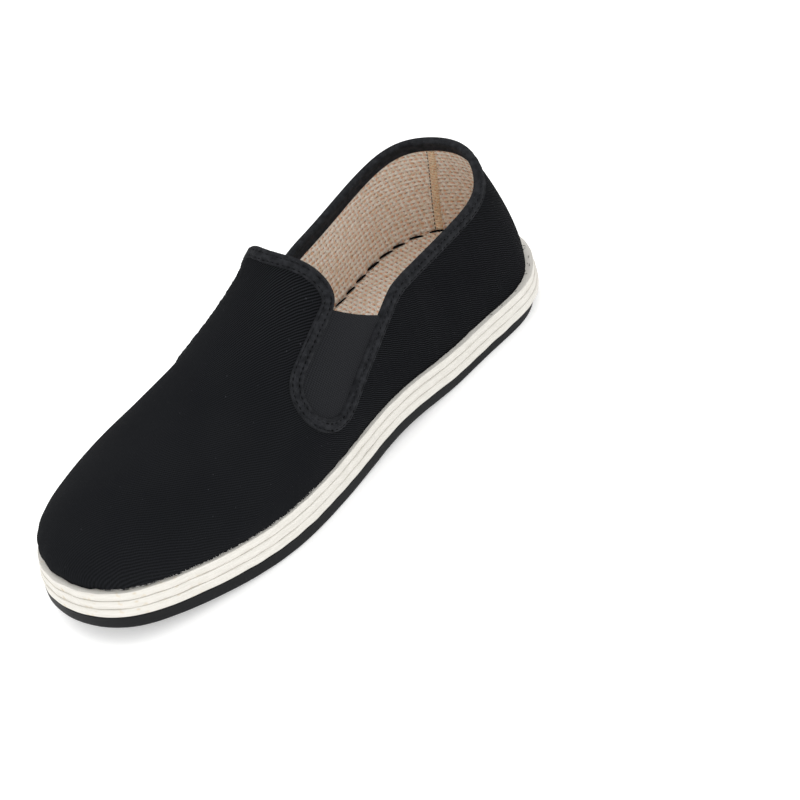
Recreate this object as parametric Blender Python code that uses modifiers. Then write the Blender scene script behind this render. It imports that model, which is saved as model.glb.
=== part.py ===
"""Chinese cloth shoe: a slip-on of black cotton with two elastic gores, a binding tape round
the whole opening, a stack of white cloth layers and a black rubber outsole.

Frame: +X runs from the heel to the toe, +Y to the wearer's left, +Z up. The floor is z = 0 and
the origin is the middle of the footprint. Sizes are in millimetres and turned to metres when the
meshes are made. It is a left shoe, so its outer side lies at +Y.
"""
import math
from typing import NamedTuple

import bmesh
import bpy
import numpy as np

MM = 0.001

# Sizes of the whole shoe.
SHOE_LENGTH = 275.0
BALL_WIDTH = 94.0
INSTEP_RISE = 72.0
HEEL_HEIGHT = 74.0
QUARTER_HEIGHT = 62.0

# Rubber outsole.
RUBBER_THICK = 5.6
RUBBER_ROUND = 1.3
RUBBER_HEEL_TUCK = 3.6
TOE_SPRING = 9.0
ARCH_RISE = 2.8

# White cloth layers between the rubber and the upper.
LAYER_COUNT = 3
LAYER_THICK = 3.4
LAYER_ROUND = 1.1
LAYER_STEP = 0.5

# Bare ledge of white cloth round the upper.
LEDGE_HEEL = 5.2
LEDGE_WAIST = 2.4
LEDGE_TOE = 3.6

# Upper, its binding tape, the elastic gores and the insole.
WALL = 2.0
WALL_BULGE = 1.5
BULGE_HEIGHT = 40.0
TAPE_WIDTH = 4.5
TAPE_PROUD = 0.5
GORE_WIDTH = 22.8
GORE_LENGTH = 48.0
GORE_THICK = 1.3
GORE_SLOPE = math.radians(31.0)
GORE_TOP_DROP = 3.2
GORE_TOP_TILT = math.radians(24.0)
INSOLE_THICK = 2.2
SEAT_GAP = 0.3

# Steps of the meshes.
SOLE_STEPS = 36
SHELL_COLUMNS = 40
SHELL_ROWS = 9
COLLAR_STEPS = 14
GORE_STEPS = 13
BEVEL_SEGMENTS = 2
WELD = 0.002
RISE_SCALE = np.linspace(0.0, 0.5 * math.pi, 200)
TURN_SCALE = np.linspace(0.05, math.pi - 0.05, 300)


class Station(NamedTuple):
    """One section of the shoe: its place as a share of the length, its half-widths as shares
    of the ball width, and the height of the last's ridge as a share of the instep rise."""
    along: float
    left: float
    right: float
    ridge: float


STATIONS = (
    Station(0.04, 0.262, 0.270, 1.31),
    Station(0.10, 0.380, 0.380, 1.45),
    Station(0.20, 0.405, 0.392, 1.49),
    Station(0.32, 0.410, 0.338, 1.34),
    Station(0.45, 0.414, 0.318, 1.10),
    Station(0.57, 0.438, 0.384, 0.80),
    Station(0.68, 0.464, 0.496, 0.555),
    Station(0.77, 0.442, 0.528, 0.455),
    Station(0.87, 0.369, 0.450, 0.40),
    Station(0.94, 0.289, 0.337, 0.38),
    Station(0.98, 0.190, 0.212, 0.37),
)


class Profile(NamedTuple):
    """How full the last is at one place: the power of its section, and the share of the
    wall's bulge that it has."""
    along: float
    power: float
    bulge: float


PROFILES = (
    Profile(0.00, 1.60, 0.1),
    Profile(0.30, 2.12, 0.5),
    Profile(0.55, 2.25, 1.0),
    Profile(0.75, 1.95, 1.1),
    Profile(1.00, 2.15, 0.9),
)


class CollarPoint(NamedTuple):
    """One height of the collar: its place along the shoe and its share of the way from the
    quarter's height up to the heel's height."""
    along: float
    lift: float


COLLAR = (
    CollarPoint(0.000, 1.10),
    CollarPoint(0.045, 1.01),
    CollarPoint(0.120, 0.56),
    CollarPoint(0.200, 0.25),
    CollarPoint(0.290, 0.11),
    CollarPoint(0.380, 0.00),
)

# Turns round the outline, from 0 at the heel to pi at the toe, where the ledge's width is given.
LEDGE_TURNS = (0.0, 0.9, 1.7, 2.5, math.pi)

# Places along the shoe, as shares of its length.
HEEL_FLAT_END = 0.29
BALL_FLAT_START = 0.60
SPRING_START = 0.705
FAN_HEEL = 0.29
FAN_TOE = 0.84
GORE_FOOT_ALONG = 0.569
GORE_FOOT_SHARE = 0.395
THROAT_ALONG = 0.505
THROAT_SIDE_ALONG = 0.488
QUARTER_CORNER_ROUND = 14.0
THROAT_CORNER_ROUND = 9.0


def smooth(at, known_at, known):
    """A natural cubic curve through the known values, read at the given places."""
    known_at = np.asarray(known_at, float)
    known = np.asarray(known, float)
    count = len(known_at)
    gap = np.diff(known_at)
    slope = np.diff(known) / gap
    matrix = np.eye(count)
    right = np.zeros(count)
    for row in range(1, count - 1):
        matrix[row, row - 1] = gap[row - 1]
        matrix[row, row] = 2.0 * (gap[row - 1] + gap[row])
        matrix[row, row + 1] = gap[row]
        right[row] = 6.0 * (slope[row] - slope[row - 1])
    bend = np.linalg.solve(matrix, right)
    at = np.clip(np.asarray(at, float), known_at[0], known_at[-1])
    low = np.clip(np.searchsorted(known_at, at) - 1, 0, count - 2)
    step = at - known_at[low]
    lead = slope[low] - gap[low] * (2.0 * bend[low] + bend[low + 1]) / 6.0
    curl = (bend[low + 1] - bend[low]) / (6.0 * gap[low])
    return known[low] + step * (lead + step * (bend[low] / 2.0 + step * curl))


def station_turn(along):
    """The turn round the outline, 0 at the heel and pi at the toe, of a share of the length."""
    return np.arccos(1.0 - 2.0 * np.asarray(along))


def fullness(turn, right_side):
    """Half-width of the sole divided by the sine of the turn, smooth round both ends."""
    along = np.array([row.along for row in STATIONS])
    turns = station_turn(along)
    left = np.array([row.left for row in STATIONS]) / np.sin(turns)
    right = np.array([row.right for row in STATIONS]) / np.sin(turns)
    turns = np.concatenate(([0.0], turns, [math.pi]))
    left = np.concatenate((left[:1], left, left[-1:]))
    right = np.concatenate((right[:1], right, right[-1:]))
    share = np.where(right_side, smooth(turn, turns, right), smooth(turn, turns, left))
    return share * BALL_WIDTH


def floor_rise(x):
    """Height of the outsole's bottom: flat at heel and ball, an arch between them and the toe
    spring, with x in millimetres from the back of the sole."""
    along = np.asarray(x) / SHOE_LENGTH
    arch = np.clip((along - HEEL_FLAT_END) / (BALL_FLAT_START - HEEL_FLAT_END), 0.0, 1.0)
    toe = np.clip((along - SPRING_START) / (1.0 - SPRING_START), 0.0, 1.05)
    return ARCH_RISE * np.sin(math.pi * arch) ** 2 + TOE_SPRING * toe ** 1.8


def layer_bottom(number):
    """Height of the bottom of one white layer over the outsole's bottom."""
    return RUBBER_THICK + SEAT_GAP + number * (LAYER_THICK + SEAT_GAP)


def upper_seat():
    """Height of the upper's lower edge over the outsole's bottom."""
    return layer_bottom(LAYER_COUNT)


def ledge(turn):
    """Width of the bare ledge between the sole's edge and the upper."""
    widths = (LEDGE_HEEL, 0.5 * (LEDGE_HEEL + LEDGE_WAIST), LEDGE_WAIST, LEDGE_WAIST, LEDGE_TOE)
    return smooth(turn, LEDGE_TURNS, widths)


def split_turn(turn):
    """The turn folded to 0..pi and which side it is on, +1 left and -1 right."""
    turn = np.asarray(turn, float)
    side = np.where(turn <= math.pi, 1.0, -1.0)
    return np.where(turn <= math.pi, turn, 2.0 * math.pi - turn), side


def last_skin(turn, rise, inset=0.0):
    """Points of the last's skin, moved inwards by inset.

    A turn runs once round the outline from the heel's back, and a rise from 0 at the sole to
    pi / 2 on the ridge. From each outline point a curve with a superellipse's profile leads to
    its own point of the ridge, so that the curves fan out round the heel and the toe.
    """
    folded, side = split_turn(turn)
    share = (1.0 - np.cos(folded)) / 2.0
    full = fullness(folded, side < 0.0)
    back = LEDGE_HEEL + inset
    front = SHOE_LENGTH - LEDGE_TOE - inset
    foot_x = back + (front - back) * share
    foot_y = side * (full - ledge(folded) - inset) * np.sin(folded)
    ridge_back = FAN_HEEL * SHOE_LENGTH
    ridge_front = FAN_TOE * SHOE_LENGTH
    ridge_x = ridge_back + (ridge_front - ridge_back) * share
    places = [row.along for row in PROFILES]
    power = smooth(share, places, [row.power for row in PROFILES])
    bulge = WALL_BULGE * smooth(share, places, [row.bulge for row in PROFILES])
    inwards = 1.0 - np.cos(rise) ** (2.0 / power)
    upwards = np.sin(rise) ** (2.0 / power)
    x = foot_x + (ridge_x - foot_x) * inwards
    y = foot_y * (1.0 - inwards)
    ridge = smooth(x / SHOE_LENGTH, [row.along for row in STATIONS],
                   [row.ridge for row in STATIONS])
    top = ridge * INSTEP_RISE - inset
    height = top * upwards
    out_x = -full * np.cos(folded)
    out_y = side * 0.5 * SHOE_LENGTH * np.sin(folded)
    reach = np.hypot(out_x, out_y) + 1e-9
    low = np.clip(height / np.minimum(BULGE_HEIGHT, top), 0.0, 1.0)
    swell = bulge * np.sin(math.pi * np.sqrt(low)) ** 2
    x = x + swell * out_x / reach
    y = y + swell * out_y / reach
    z = height + floor_rise(x) + upper_seat()
    return np.stack(np.broadcast_arrays(x, y, z), -1)


def find_on_last(x, z):
    """Turn and rise of the points of the left skin with the given side-view places."""
    x = np.asarray(x, float)
    z = np.asarray(z, float)
    turn = station_turn(np.clip(x / SHOE_LENGTH, 0.003, 0.97))
    rise = np.full_like(x, 0.5)
    step = 1e-4
    for _ in range(30):
        here = last_skin(turn, rise)
        by_turn = (last_skin(turn + step, rise) - here) / step
        by_rise = (last_skin(turn, rise + step) - here) / step
        miss_x = x - here[..., 0]
        miss_z = z - here[..., 2]
        area = by_turn[..., 0] * by_rise[..., 2] - by_rise[..., 0] * by_turn[..., 2]
        area = np.where(np.abs(area) < 1.0, np.where(area < 0.0, -1.0, 1.0), area)
        turn_move = (miss_x * by_rise[..., 2] - by_rise[..., 0] * miss_z) / area
        rise_move = (by_turn[..., 0] * miss_z - miss_x * by_turn[..., 2]) / area
        turn = np.clip(turn + np.clip(turn_move, -0.2, 0.2), 0.0, math.pi - 0.01)
        rise = np.clip(rise + np.clip(rise_move, -0.2, 0.2), 0.01, 1.5)
    return turn, rise


def rounded(points, corner, radius, steps):
    """The path with one of its corners replaced by an arc of the given radius."""
    here = np.array(points[corner])
    before = np.array(points[corner - 1]) - here
    after = np.array(points[corner + 1]) - here
    before = before / np.linalg.norm(before)
    after = after / np.linalg.norm(after)
    half = 0.5 * math.acos(float(before @ after))
    reach = radius / math.tan(half)
    middle = before + after
    centre = here + middle / np.linalg.norm(middle) * radius / math.sin(half)
    first = here + before * reach - centre
    last = here + after * reach - centre
    spread = math.atan2(first[0] * last[1] - first[1] * last[0], float(first @ last))
    angles = np.linspace(0.0, spread, steps)
    turned = np.stack((np.cos(angles) * first[0] - np.sin(angles) * first[1],
                       np.sin(angles) * first[0] + np.cos(angles) * first[1]), -1)
    return centre + turned


def gore_frame():
    """Side-view centre of the gore's round foot, the way up its middle and the way across."""
    foot = np.array((GORE_FOOT_ALONG * SHOE_LENGTH,
                     upper_seat() + GORE_FOOT_SHARE * INSTEP_RISE))
    upward = np.array((-math.cos(GORE_SLOPE), math.sin(GORE_SLOPE)))
    forward = np.array((math.sin(GORE_SLOPE), math.cos(GORE_SLOPE)))
    return foot, upward, forward


def opening_line():
    """Turn and rise along the left half of the opening's edge: up from the heel's seam, along
    the collar, down and round the gore and over the throat to the ridge."""
    foot, upward, forward = gore_frame()
    radius = 0.5 * GORE_WIDTH
    straight = GORE_LENGTH - radius
    along = np.array([point.along for point in COLLAR])
    lift = np.array([point.lift for point in COLLAR])
    level = QUARTER_HEIGHT + (HEEL_HEIGHT - QUARTER_HEIGHT) * lift

    rear_top = foot - forward * radius + upward * straight
    rear_run = (rear_top[1] - QUARTER_HEIGHT) / upward[1]
    corner = rear_top - upward * rear_run
    rear_foot = foot - forward * radius
    front_foot = foot + forward * radius
    front_top = foot + forward * radius + upward * straight
    throat_x = THROAT_SIDE_ALONG * SHOE_LENGTH
    throat_corner = front_top + upward * (front_top[0] - throat_x) / -upward[0]
    above = throat_corner + np.array((0.0, 30.0))

    quarter_arc = rounded([(0.0, QUARTER_HEIGHT), tuple(corner), tuple(rear_foot)], 1,
                          QUARTER_CORNER_ROUND, 5)
    throat_arc = rounded([tuple(front_foot), tuple(throat_corner), tuple(above)], 1,
                         THROAT_CORNER_ROUND, 6)
    sweep = np.linspace(0.0, math.pi, 11)
    foot_arc = (foot - np.outer(np.cos(sweep), forward) * radius
                - np.outer(np.sin(sweep), upward) * radius)
    rear = np.linspace(quarter_arc[-1], rear_foot, 6)[1:-1]
    front = np.linspace(front_foot, throat_arc[0], 6)[1:-1]
    side = np.concatenate((quarter_arc, rear, foot_arc, front, throat_arc))
    turn, rise = find_on_last(side[:, 0], side[:, 1])

    collar_turn = np.linspace(0.0, turn[0], COLLAR_STEPS + 1)[:-1]
    collar_level = smooth((1.0 - np.cos(collar_turn)) / 2.0, along, level)
    collar_rise = np.array([float(np.interp(height, last_skin(place, RISE_SCALE)[:, 2],
                                            RISE_SCALE))
                            for place, height in zip(collar_turn, collar_level)])
    over = np.linspace(0.0, 1.0, 9)[1:]
    over_rise = rise[-1] + (0.5 * math.pi - rise[-1]) * over
    blend = over * over * (3.0 - 2.0 * over)
    over_x = side[-1, 0] + (THROAT_ALONG * SHOE_LENGTH - side[-1, 0]) * blend
    over_turn = np.array([float(np.interp(place, last_skin(TURN_SCALE, level_rise)[:, 0],
                                          TURN_SCALE))
                          for place, level_rise in zip(over_x, over_rise)])
    turn = np.concatenate((collar_turn, turn, over_turn))
    rise = np.concatenate((collar_rise, rise, over_rise))
    return turn, rise


def moved_in(turn, rise, distance):
    """The edge line moved over the skin into the cloth, square to itself, by a distance."""
    turn = np.array(turn)
    rise = np.array(rise)
    step = 1e-4
    for _ in range(3):
        safe_rise = np.clip(rise, 0.01, 0.5 * math.pi - 2 * step)
        safe_turn = np.maximum(turn, 1e-3)
        here = last_skin(safe_turn, safe_rise)
        by_turn = (last_skin(safe_turn + step, safe_rise) - here) / step
        by_rise = (last_skin(safe_turn, safe_rise + step) - here) / step
        tangent = np.gradient(here, axis=0)
        tangent[0] = (0.0, 1.0, 0.0)
        tangent[-1] = (0.0, -1.0, 0.0)
        normal = np.cross(by_turn, by_rise)
        inward = np.cross(tangent, normal)
        inward /= np.linalg.norm(inward, axis=1, keepdims=True)
        inward *= distance / 3.0
        tt = np.sum(by_turn * by_turn, 1)
        tr = np.sum(by_turn * by_rise, 1)
        rr = np.sum(by_rise * by_rise, 1)
        to_turn = np.sum(by_turn * inward, 1)
        to_rise = np.sum(by_rise * inward, 1)
        area = tt * rr - tr * tr
        turn_move = (to_turn * rr - to_rise * tr) / area
        rise_move = (tt * to_rise - tr * to_turn) / area
        turn_move[0] = 0.0
        rise_move[-1] = 0.0
        turn = turn + turn_move
        rise = rise + rise_move
    return turn, rise


def mirrored_turn(turn):
    """The same place on the right side of the last."""
    return 2.0 * math.pi - np.asarray(turn)


def add_object(name, bm, collection, surface):
    """A smooth-shaded object made from the bmesh, whose points are in millimetres."""
    place = np.array((-0.5 * SHOE_LENGTH, sole_middle(), 0.0))
    for vertex in bm.verts:
        vertex.co = [(vertex.co[axis] + place[axis]) * MM for axis in range(3)]
    bmesh.ops.recalc_face_normals(bm, faces=bm.faces)
    mesh = bpy.data.meshes.new(name)
    bm.to_mesh(mesh)
    bm.free()
    if surface is not None:
        mesh.materials.append(surface)
    mesh.shade_smooth()
    mesh.set_sharp_from_angle(angle=math.radians(40.0))
    item = bpy.data.objects.new(name, mesh)
    collection.objects.link(item)
    return item


def sole_middle():
    """Shift that brings the middle of the sole's width to y = 0."""
    turn = np.linspace(0.0, math.pi, 400)
    left = np.max(fullness(turn, False) * np.sin(turn))
    right = np.max(fullness(turn, True) * np.sin(turn))
    return 0.5 * (right - left)


def sole_outline(inset, heel_tuck=0.0):
    """Left and right points of the sole's outline, moved inwards by inset, heel to toe."""
    turn = np.linspace(0.0, math.pi, SOLE_STEPS + 1)
    tuck = heel_tuck * np.clip(1.0 - turn / 1.6, 0.0, 1.0)
    share = (1.0 - np.cos(turn)) / 2.0
    x = inset + heel_tuck + (SHOE_LENGTH - 2.0 * inset - heel_tuck) * share
    left = (fullness(turn, False) - inset - tuck) * np.sin(turn)
    right = (fullness(turn, True) - inset - tuck) * np.sin(turn)
    return x, left, right


def plate(name, outline, base, thick, collection, surface, edge_round):
    """A plate that follows the outsole's bend, with the rounded rim of its two faces."""
    x, left, right = outline
    bm = bmesh.new()
    z = floor_rise(x) + base
    heel = bm.verts.new((x[0], 0.0, z[0]))
    toe = bm.verts.new((x[-1], 0.0, z[-1]))
    lefts = [bm.verts.new((x[i], left[i], z[i])) for i in range(1, len(x) - 1)]
    rights = [bm.verts.new((x[i], -right[i], z[i])) for i in range(1, len(x) - 1)]
    bm.faces.new((heel, rights[0], lefts[0]))
    for i in range(len(lefts) - 1):
        bm.faces.new((lefts[i], rights[i], rights[i + 1], lefts[i + 1]))
    bm.faces.new((lefts[-1], rights[-1], toe))
    grown = bmesh.ops.extrude_face_region(bm, geom=bm.faces[:])
    tops = [part for part in grown["geom"] if isinstance(part, bmesh.types.BMVert)]
    bmesh.ops.translate(bm, verts=tops, vec=(0.0, 0.0, thick))
    item = add_object(name, bm, collection, surface)
    bevel = item.modifiers.new("Rounded rim", "BEVEL")
    bevel.width = edge_round * MM
    bevel.segments = BEVEL_SEGMENTS
    bevel.limit_method = "ANGLE"
    bevel.angle_limit = math.radians(50.0)
    return item


def last_shell(name, outset, inset, collection, cloth):
    """A hollow shell of the whole last, open underneath, from outset outside its skin to inset
    inside it. Its columns follow the turn and its rows the rise, up to the ridge."""
    turn = np.linspace(0.0, 2.0 * math.pi, 2 * SHELL_COLUMNS + 1)[:-1]
    rise = 0.5 * math.pi * np.linspace(0.0, 1.0, SHELL_ROWS + 1)
    bm = bmesh.new()
    skins = []
    for depth in (-outset, inset):
        points = last_skin(turn[:, None], rise[None, :], depth)
        skins.append([[bm.verts.new(point) for point in column] for column in points])
    near, far = skins
    for i in range(len(turn)):
        k = (i + 1) % len(turn)
        for j in range(SHELL_ROWS):
            bm.faces.new((near[i][j], near[k][j], near[k][j + 1], near[i][j + 1]))
            bm.faces.new((far[i][j + 1], far[k][j + 1], far[k][j], far[i][j]))
        bm.faces.new((near[k][0], near[i][0], far[i][0], far[k][0]))
    bmesh.ops.remove_doubles(bm, verts=bm.verts[:], dist=WELD)
    return add_object(name, bm, collection, cloth)


def side_cutter(name, outline, near_y, far_y, cutters):
    """A prism across the shoe with the given side-view outline."""
    bm = bmesh.new()
    corners = [bm.verts.new((x, near_y, z)) for x, z in outline]
    face = bm.faces.new(corners)
    grown = bmesh.ops.extrude_face_region(bm, geom=[face])
    moved = [part for part in grown["geom"] if isinstance(part, bmesh.types.BMVert)]
    bmesh.ops.translate(bm, verts=moved, vec=(0.0, far_y - near_y, 0.0))
    item = add_object(name, bm, cutters, None)
    item.hide_render = True
    item.display_type = "WIRE"
    return item


def opening_outline(edge, distance):
    """Side-view outline of all that lies above the opening's edge moved into the cloth."""
    turn, rise = moved_in(*edge, distance) if distance > 0.0 else edge
    line = last_skin(turn, rise)[:, (0, 2)]
    above = 2.0 * INSTEP_RISE + upper_seat()
    behind = -0.1 * SHOE_LENGTH
    ends = np.array(((line[-1, 0], above), (behind, above), (behind, line[0, 1])))
    return np.concatenate((line, ends))


def gore_outline():
    """Side-view outline of the elastic: a round foot, straight sides and a straight top that
    is lower at its front end."""
    foot, upward, forward = gore_frame()
    radius = 0.5 * GORE_WIDTH - SEAT_GAP
    top = foot + upward * (GORE_LENGTH - 0.5 * GORE_WIDTH - GORE_TOP_DROP)
    across = forward * radius - upward * radius * math.tan(GORE_TOP_TILT)
    sweep = np.linspace(0.0, math.pi, GORE_STEPS)
    arc = (foot - np.outer(np.cos(sweep), forward) * radius
           - np.outer(np.sin(sweep), upward) * radius)
    return np.concatenate((arc, (top + across, top - across)))


def cut(item, cutter, operation):
    """Adds an exact Boolean that takes the cutter from the item, or keeps what they share."""
    modifier = item.modifiers.new(f"{operation.title()} {cutter.name}", "BOOLEAN")
    modifier.operation = operation
    modifier.solver = "EXACT"
    modifier.object = cutter


def make_cloth(edge, collection, cutters, cotton, tape, elastic):
    """The upper, the binding tape and the gores, all cut from shells of the same last."""
    half_span = BALL_WIDTH
    taped = side_cutter("cut_upper", opening_outline(edge, TAPE_WIDTH + SEAT_GAP),
                        -half_span, half_span, cutters)
    opened = side_cutter("cut_opening", opening_outline(edge, 0.0), -half_span, half_span,
                         cutters)
    strip = side_cutter("keep_binding", opening_outline(edge, TAPE_WIDTH), -half_span,
                        half_span, cutters)
    cut(last_shell("upper", 0.0, WALL, collection, cotton), taped, "DIFFERENCE")
    binding = last_shell("binding", TAPE_PROUD, WALL + TAPE_PROUD, collection, tape)
    cut(binding, strip, "INTERSECT")
    cut(binding, opened, "DIFFERENCE")
    depth = 0.5 * (WALL - GORE_THICK)
    for name, near_y, far_y in (("gore_outer", 0.0, half_span), ("gore_inner", -half_span, 0.0)):
        keep = side_cutter(f"keep_{name}", gore_outline(), near_y, far_y, cutters)
        gore = last_shell(name, -depth, depth + GORE_THICK, collection, elastic)
        cut(gore, keep, "INTERSECT")


def material(name, colour, roughness):
    """A plain material with the piece's colour and roughness."""
    made = bpy.data.materials.new(name)
    made.use_nodes = True
    shader = made.node_tree.nodes["Principled BSDF"]
    shader.inputs["Base Color"].default_value = (*colour, 1.0)
    shader.inputs["Roughness"].default_value = roughness
    shader.inputs["Metallic"].default_value = 0.0
    return made


def main():
    """Builds every piece of the shoe."""
    for item in list(bpy.data.objects):
        bpy.data.objects.remove(item, do_unlink=True)
    collection = bpy.data.collections.new("Chinese cloth shoe")
    cutters = bpy.data.collections.new("Cutters")
    bpy.context.scene.collection.children.link(collection)
    bpy.context.scene.collection.children.link(cutters)

    rubber = material("Black rubber", (0.022, 0.023, 0.025), 0.62)
    white = material("White cotton", (0.80, 0.80, 0.77), 0.92)
    cotton = material("Black cotton twill", (0.012, 0.013, 0.015), 0.90)
    tape = material("Black cotton tape", (0.017, 0.018, 0.020), 0.93)
    elastic = material("Black elastic", (0.020, 0.021, 0.024), 0.88)
    lining = material("Woven cream and rust cotton", (0.70, 0.56, 0.42), 0.94)

    plate("outsole", sole_outline(0.0, RUBBER_HEEL_TUCK), 0.0, RUBBER_THICK, collection, rubber,
          RUBBER_ROUND)
    for number in range(LAYER_COUNT):
        plate(f"white_layer_{number + 1}", sole_outline(LAYER_STEP * number),
              layer_bottom(number), LAYER_THICK, collection, white, LAYER_ROUND)

    turn = np.linspace(0.0, math.pi, SOLE_STEPS + 1)
    left = last_skin(turn, 0.0, WALL + 2.0 * SEAT_GAP)
    right = last_skin(mirrored_turn(turn), 0.0, WALL + 2.0 * SEAT_GAP)
    plate("insole", (left[:, 0], left[:, 1], -right[:, 1]), upper_seat(), INSOLE_THICK,
          collection, lining, 0.35 * INSOLE_THICK)

    make_cloth(opening_line(), collection, cutters, cotton, tape, elastic)


main()
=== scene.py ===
"""Looks of a left Chinese cloth shoe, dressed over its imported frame.

Frame: metres, +X from the heel to the toe, +Y to the wearer's left, +Z up, the floor at z = 0.
Shapes are worked out in millimetres with x from the back of the sole and are moved to the frame
when a mesh is made. A turn runs once round the sole from the heel's back, the left side first,
and a rise runs from 0 at the upper's seat to a quarter turn on the ridge of the last.
"""

import logging
import math
from dataclasses import dataclass, field
from enum import Enum
from typing import NamedTuple, Optional, Sequence

import bpy
import numpy as np
from mathutils import Matrix, Vector


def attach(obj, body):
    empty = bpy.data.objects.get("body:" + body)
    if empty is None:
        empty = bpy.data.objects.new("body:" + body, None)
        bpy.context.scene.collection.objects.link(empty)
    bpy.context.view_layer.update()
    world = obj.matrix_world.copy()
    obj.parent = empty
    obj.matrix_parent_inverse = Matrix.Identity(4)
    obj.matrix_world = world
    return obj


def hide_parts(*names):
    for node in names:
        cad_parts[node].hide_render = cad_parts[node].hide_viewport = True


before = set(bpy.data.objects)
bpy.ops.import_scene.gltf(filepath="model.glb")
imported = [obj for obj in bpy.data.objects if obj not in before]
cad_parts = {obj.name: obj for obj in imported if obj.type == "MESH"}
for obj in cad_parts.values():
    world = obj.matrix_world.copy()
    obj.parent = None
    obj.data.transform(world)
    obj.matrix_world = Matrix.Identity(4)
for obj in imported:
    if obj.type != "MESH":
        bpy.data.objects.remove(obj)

LOG = logging.getLogger("cloth_shoe")
MM = 0.001
QUARTER = 0.5 * math.pi
FULL = 2.0 * math.pi
SEED = 20
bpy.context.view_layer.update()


def smooth(at: np.ndarray, known_at: Sequence[float], known: Sequence[float]) -> np.ndarray:
    """A natural cubic curve through known values.

    Args:
        at: places to read the curve at.
        known_at: rising places of the known values.
        known: the values there.

    Returns:
        The curve's values at the asked places, held level past the ends.
    """
    places = np.asarray(known_at, float)
    values = np.asarray(known, float)
    gap = np.diff(places)
    slope = np.diff(values) / gap
    inner = np.arange(1, len(places) - 1)
    matrix = np.eye(len(places))
    right = np.zeros(len(places))
    matrix[inner, inner - 1] = gap[:-1]
    matrix[inner, inner] = 2.0 * (gap[:-1] + gap[1:])
    matrix[inner, inner + 1] = gap[1:]
    right[inner] = 6.0 * np.diff(slope)
    bend = np.linalg.solve(matrix, right)
    at = np.clip(np.asarray(at, float), places[0], places[-1])
    low = np.clip(np.searchsorted(places, at) - 1, 0, len(places) - 2)
    step = at - places[low]
    lead = slope[low] - gap[low] * (2.0 * bend[low] + bend[low + 1]) / 6.0
    curl = (bend[low + 1] - bend[low]) / (6.0 * gap[low])
    return values[low] + step * (lead + step * (bend[low] / 2.0 + step * curl))


def unit(vectors: np.ndarray) -> np.ndarray:
    """The vectors with length one.

    Args:
        vectors: vectors on the last axis.

    Returns:
        Vectors of the same shape.
    """
    return vectors / np.maximum(np.linalg.norm(vectors, axis=-1, keepdims=True), 1e-9)


def waves(at: np.ndarray, period: float, count: int, seed: int) -> np.ndarray:
    """A seeded sum of sines that repeats after a full turn's worth of a length.

    Args:
        at: places along the length.
        period: the length after which the wave repeats.
        count: number of sines; the highest has count cycles.
        seed: seed of their phases.

    Returns:
        Values of about one at most, with a mean of nought.
    """
    source = np.random.default_rng(SEED + seed)
    cycles = np.arange(1, count + 1)
    phase = source.uniform(0.0, FULL, count)
    weight = source.uniform(0.4, 1.0, count)
    angle = FULL * np.asarray(at, float)[..., None] * cycles / period + phase
    return (np.sin(angle) * weight).sum(-1) / math.sqrt(0.5 * count)


def along(points: np.ndarray) -> np.ndarray:
    """Distance walked along a line of points, from nought at its first.

    Args:
        points: the line's points, in order.

    Returns:
        One distance for each point.
    """
    steps = np.linalg.norm(np.diff(points, axis=0), axis=-1)
    return np.concatenate(([0.0], np.cumsum(steps)))


def inside(points: np.ndarray, outline: np.ndarray) -> np.ndarray:
    """Whether flat points lie in a closed outline, by counting the sides a ray crosses.

    Args:
        points: flat points, one a row.
        outline: corners of the outline, in order.

    Returns:
        One truth value for each point.
    """
    start = outline
    end = np.roll(outline, -1, axis=0)
    x = points[:, None, 0]
    z = points[:, None, 1]
    spans = (start[:, 1] > z) != (end[:, 1] > z)
    rise = np.where(np.abs(end[:, 1] - start[:, 1]) < 1e-9, 1e-9, end[:, 1] - start[:, 1])
    crossing = start[:, 0] + (end[:, 0] - start[:, 0]) * (z - start[:, 1]) / rise
    return (spans & (x < crossing)).sum(1) % 2 == 1


class Station(NamedTuple):
    """One section: place as a share of the length, half-widths as shares of the ball width
    and the ridge's height as a share of the instep rise."""
    along: float
    left: float
    right: float
    ridge: float


class Profile(NamedTuple):
    """Fullness at one place: the power of the section and its share of the wall's bulge."""
    along: float
    power: float
    bulge: float


class CollarPoint(NamedTuple):
    """One height of the collar, as a share of the way from the quarter up to the heel."""
    along: float
    lift: float


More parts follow.
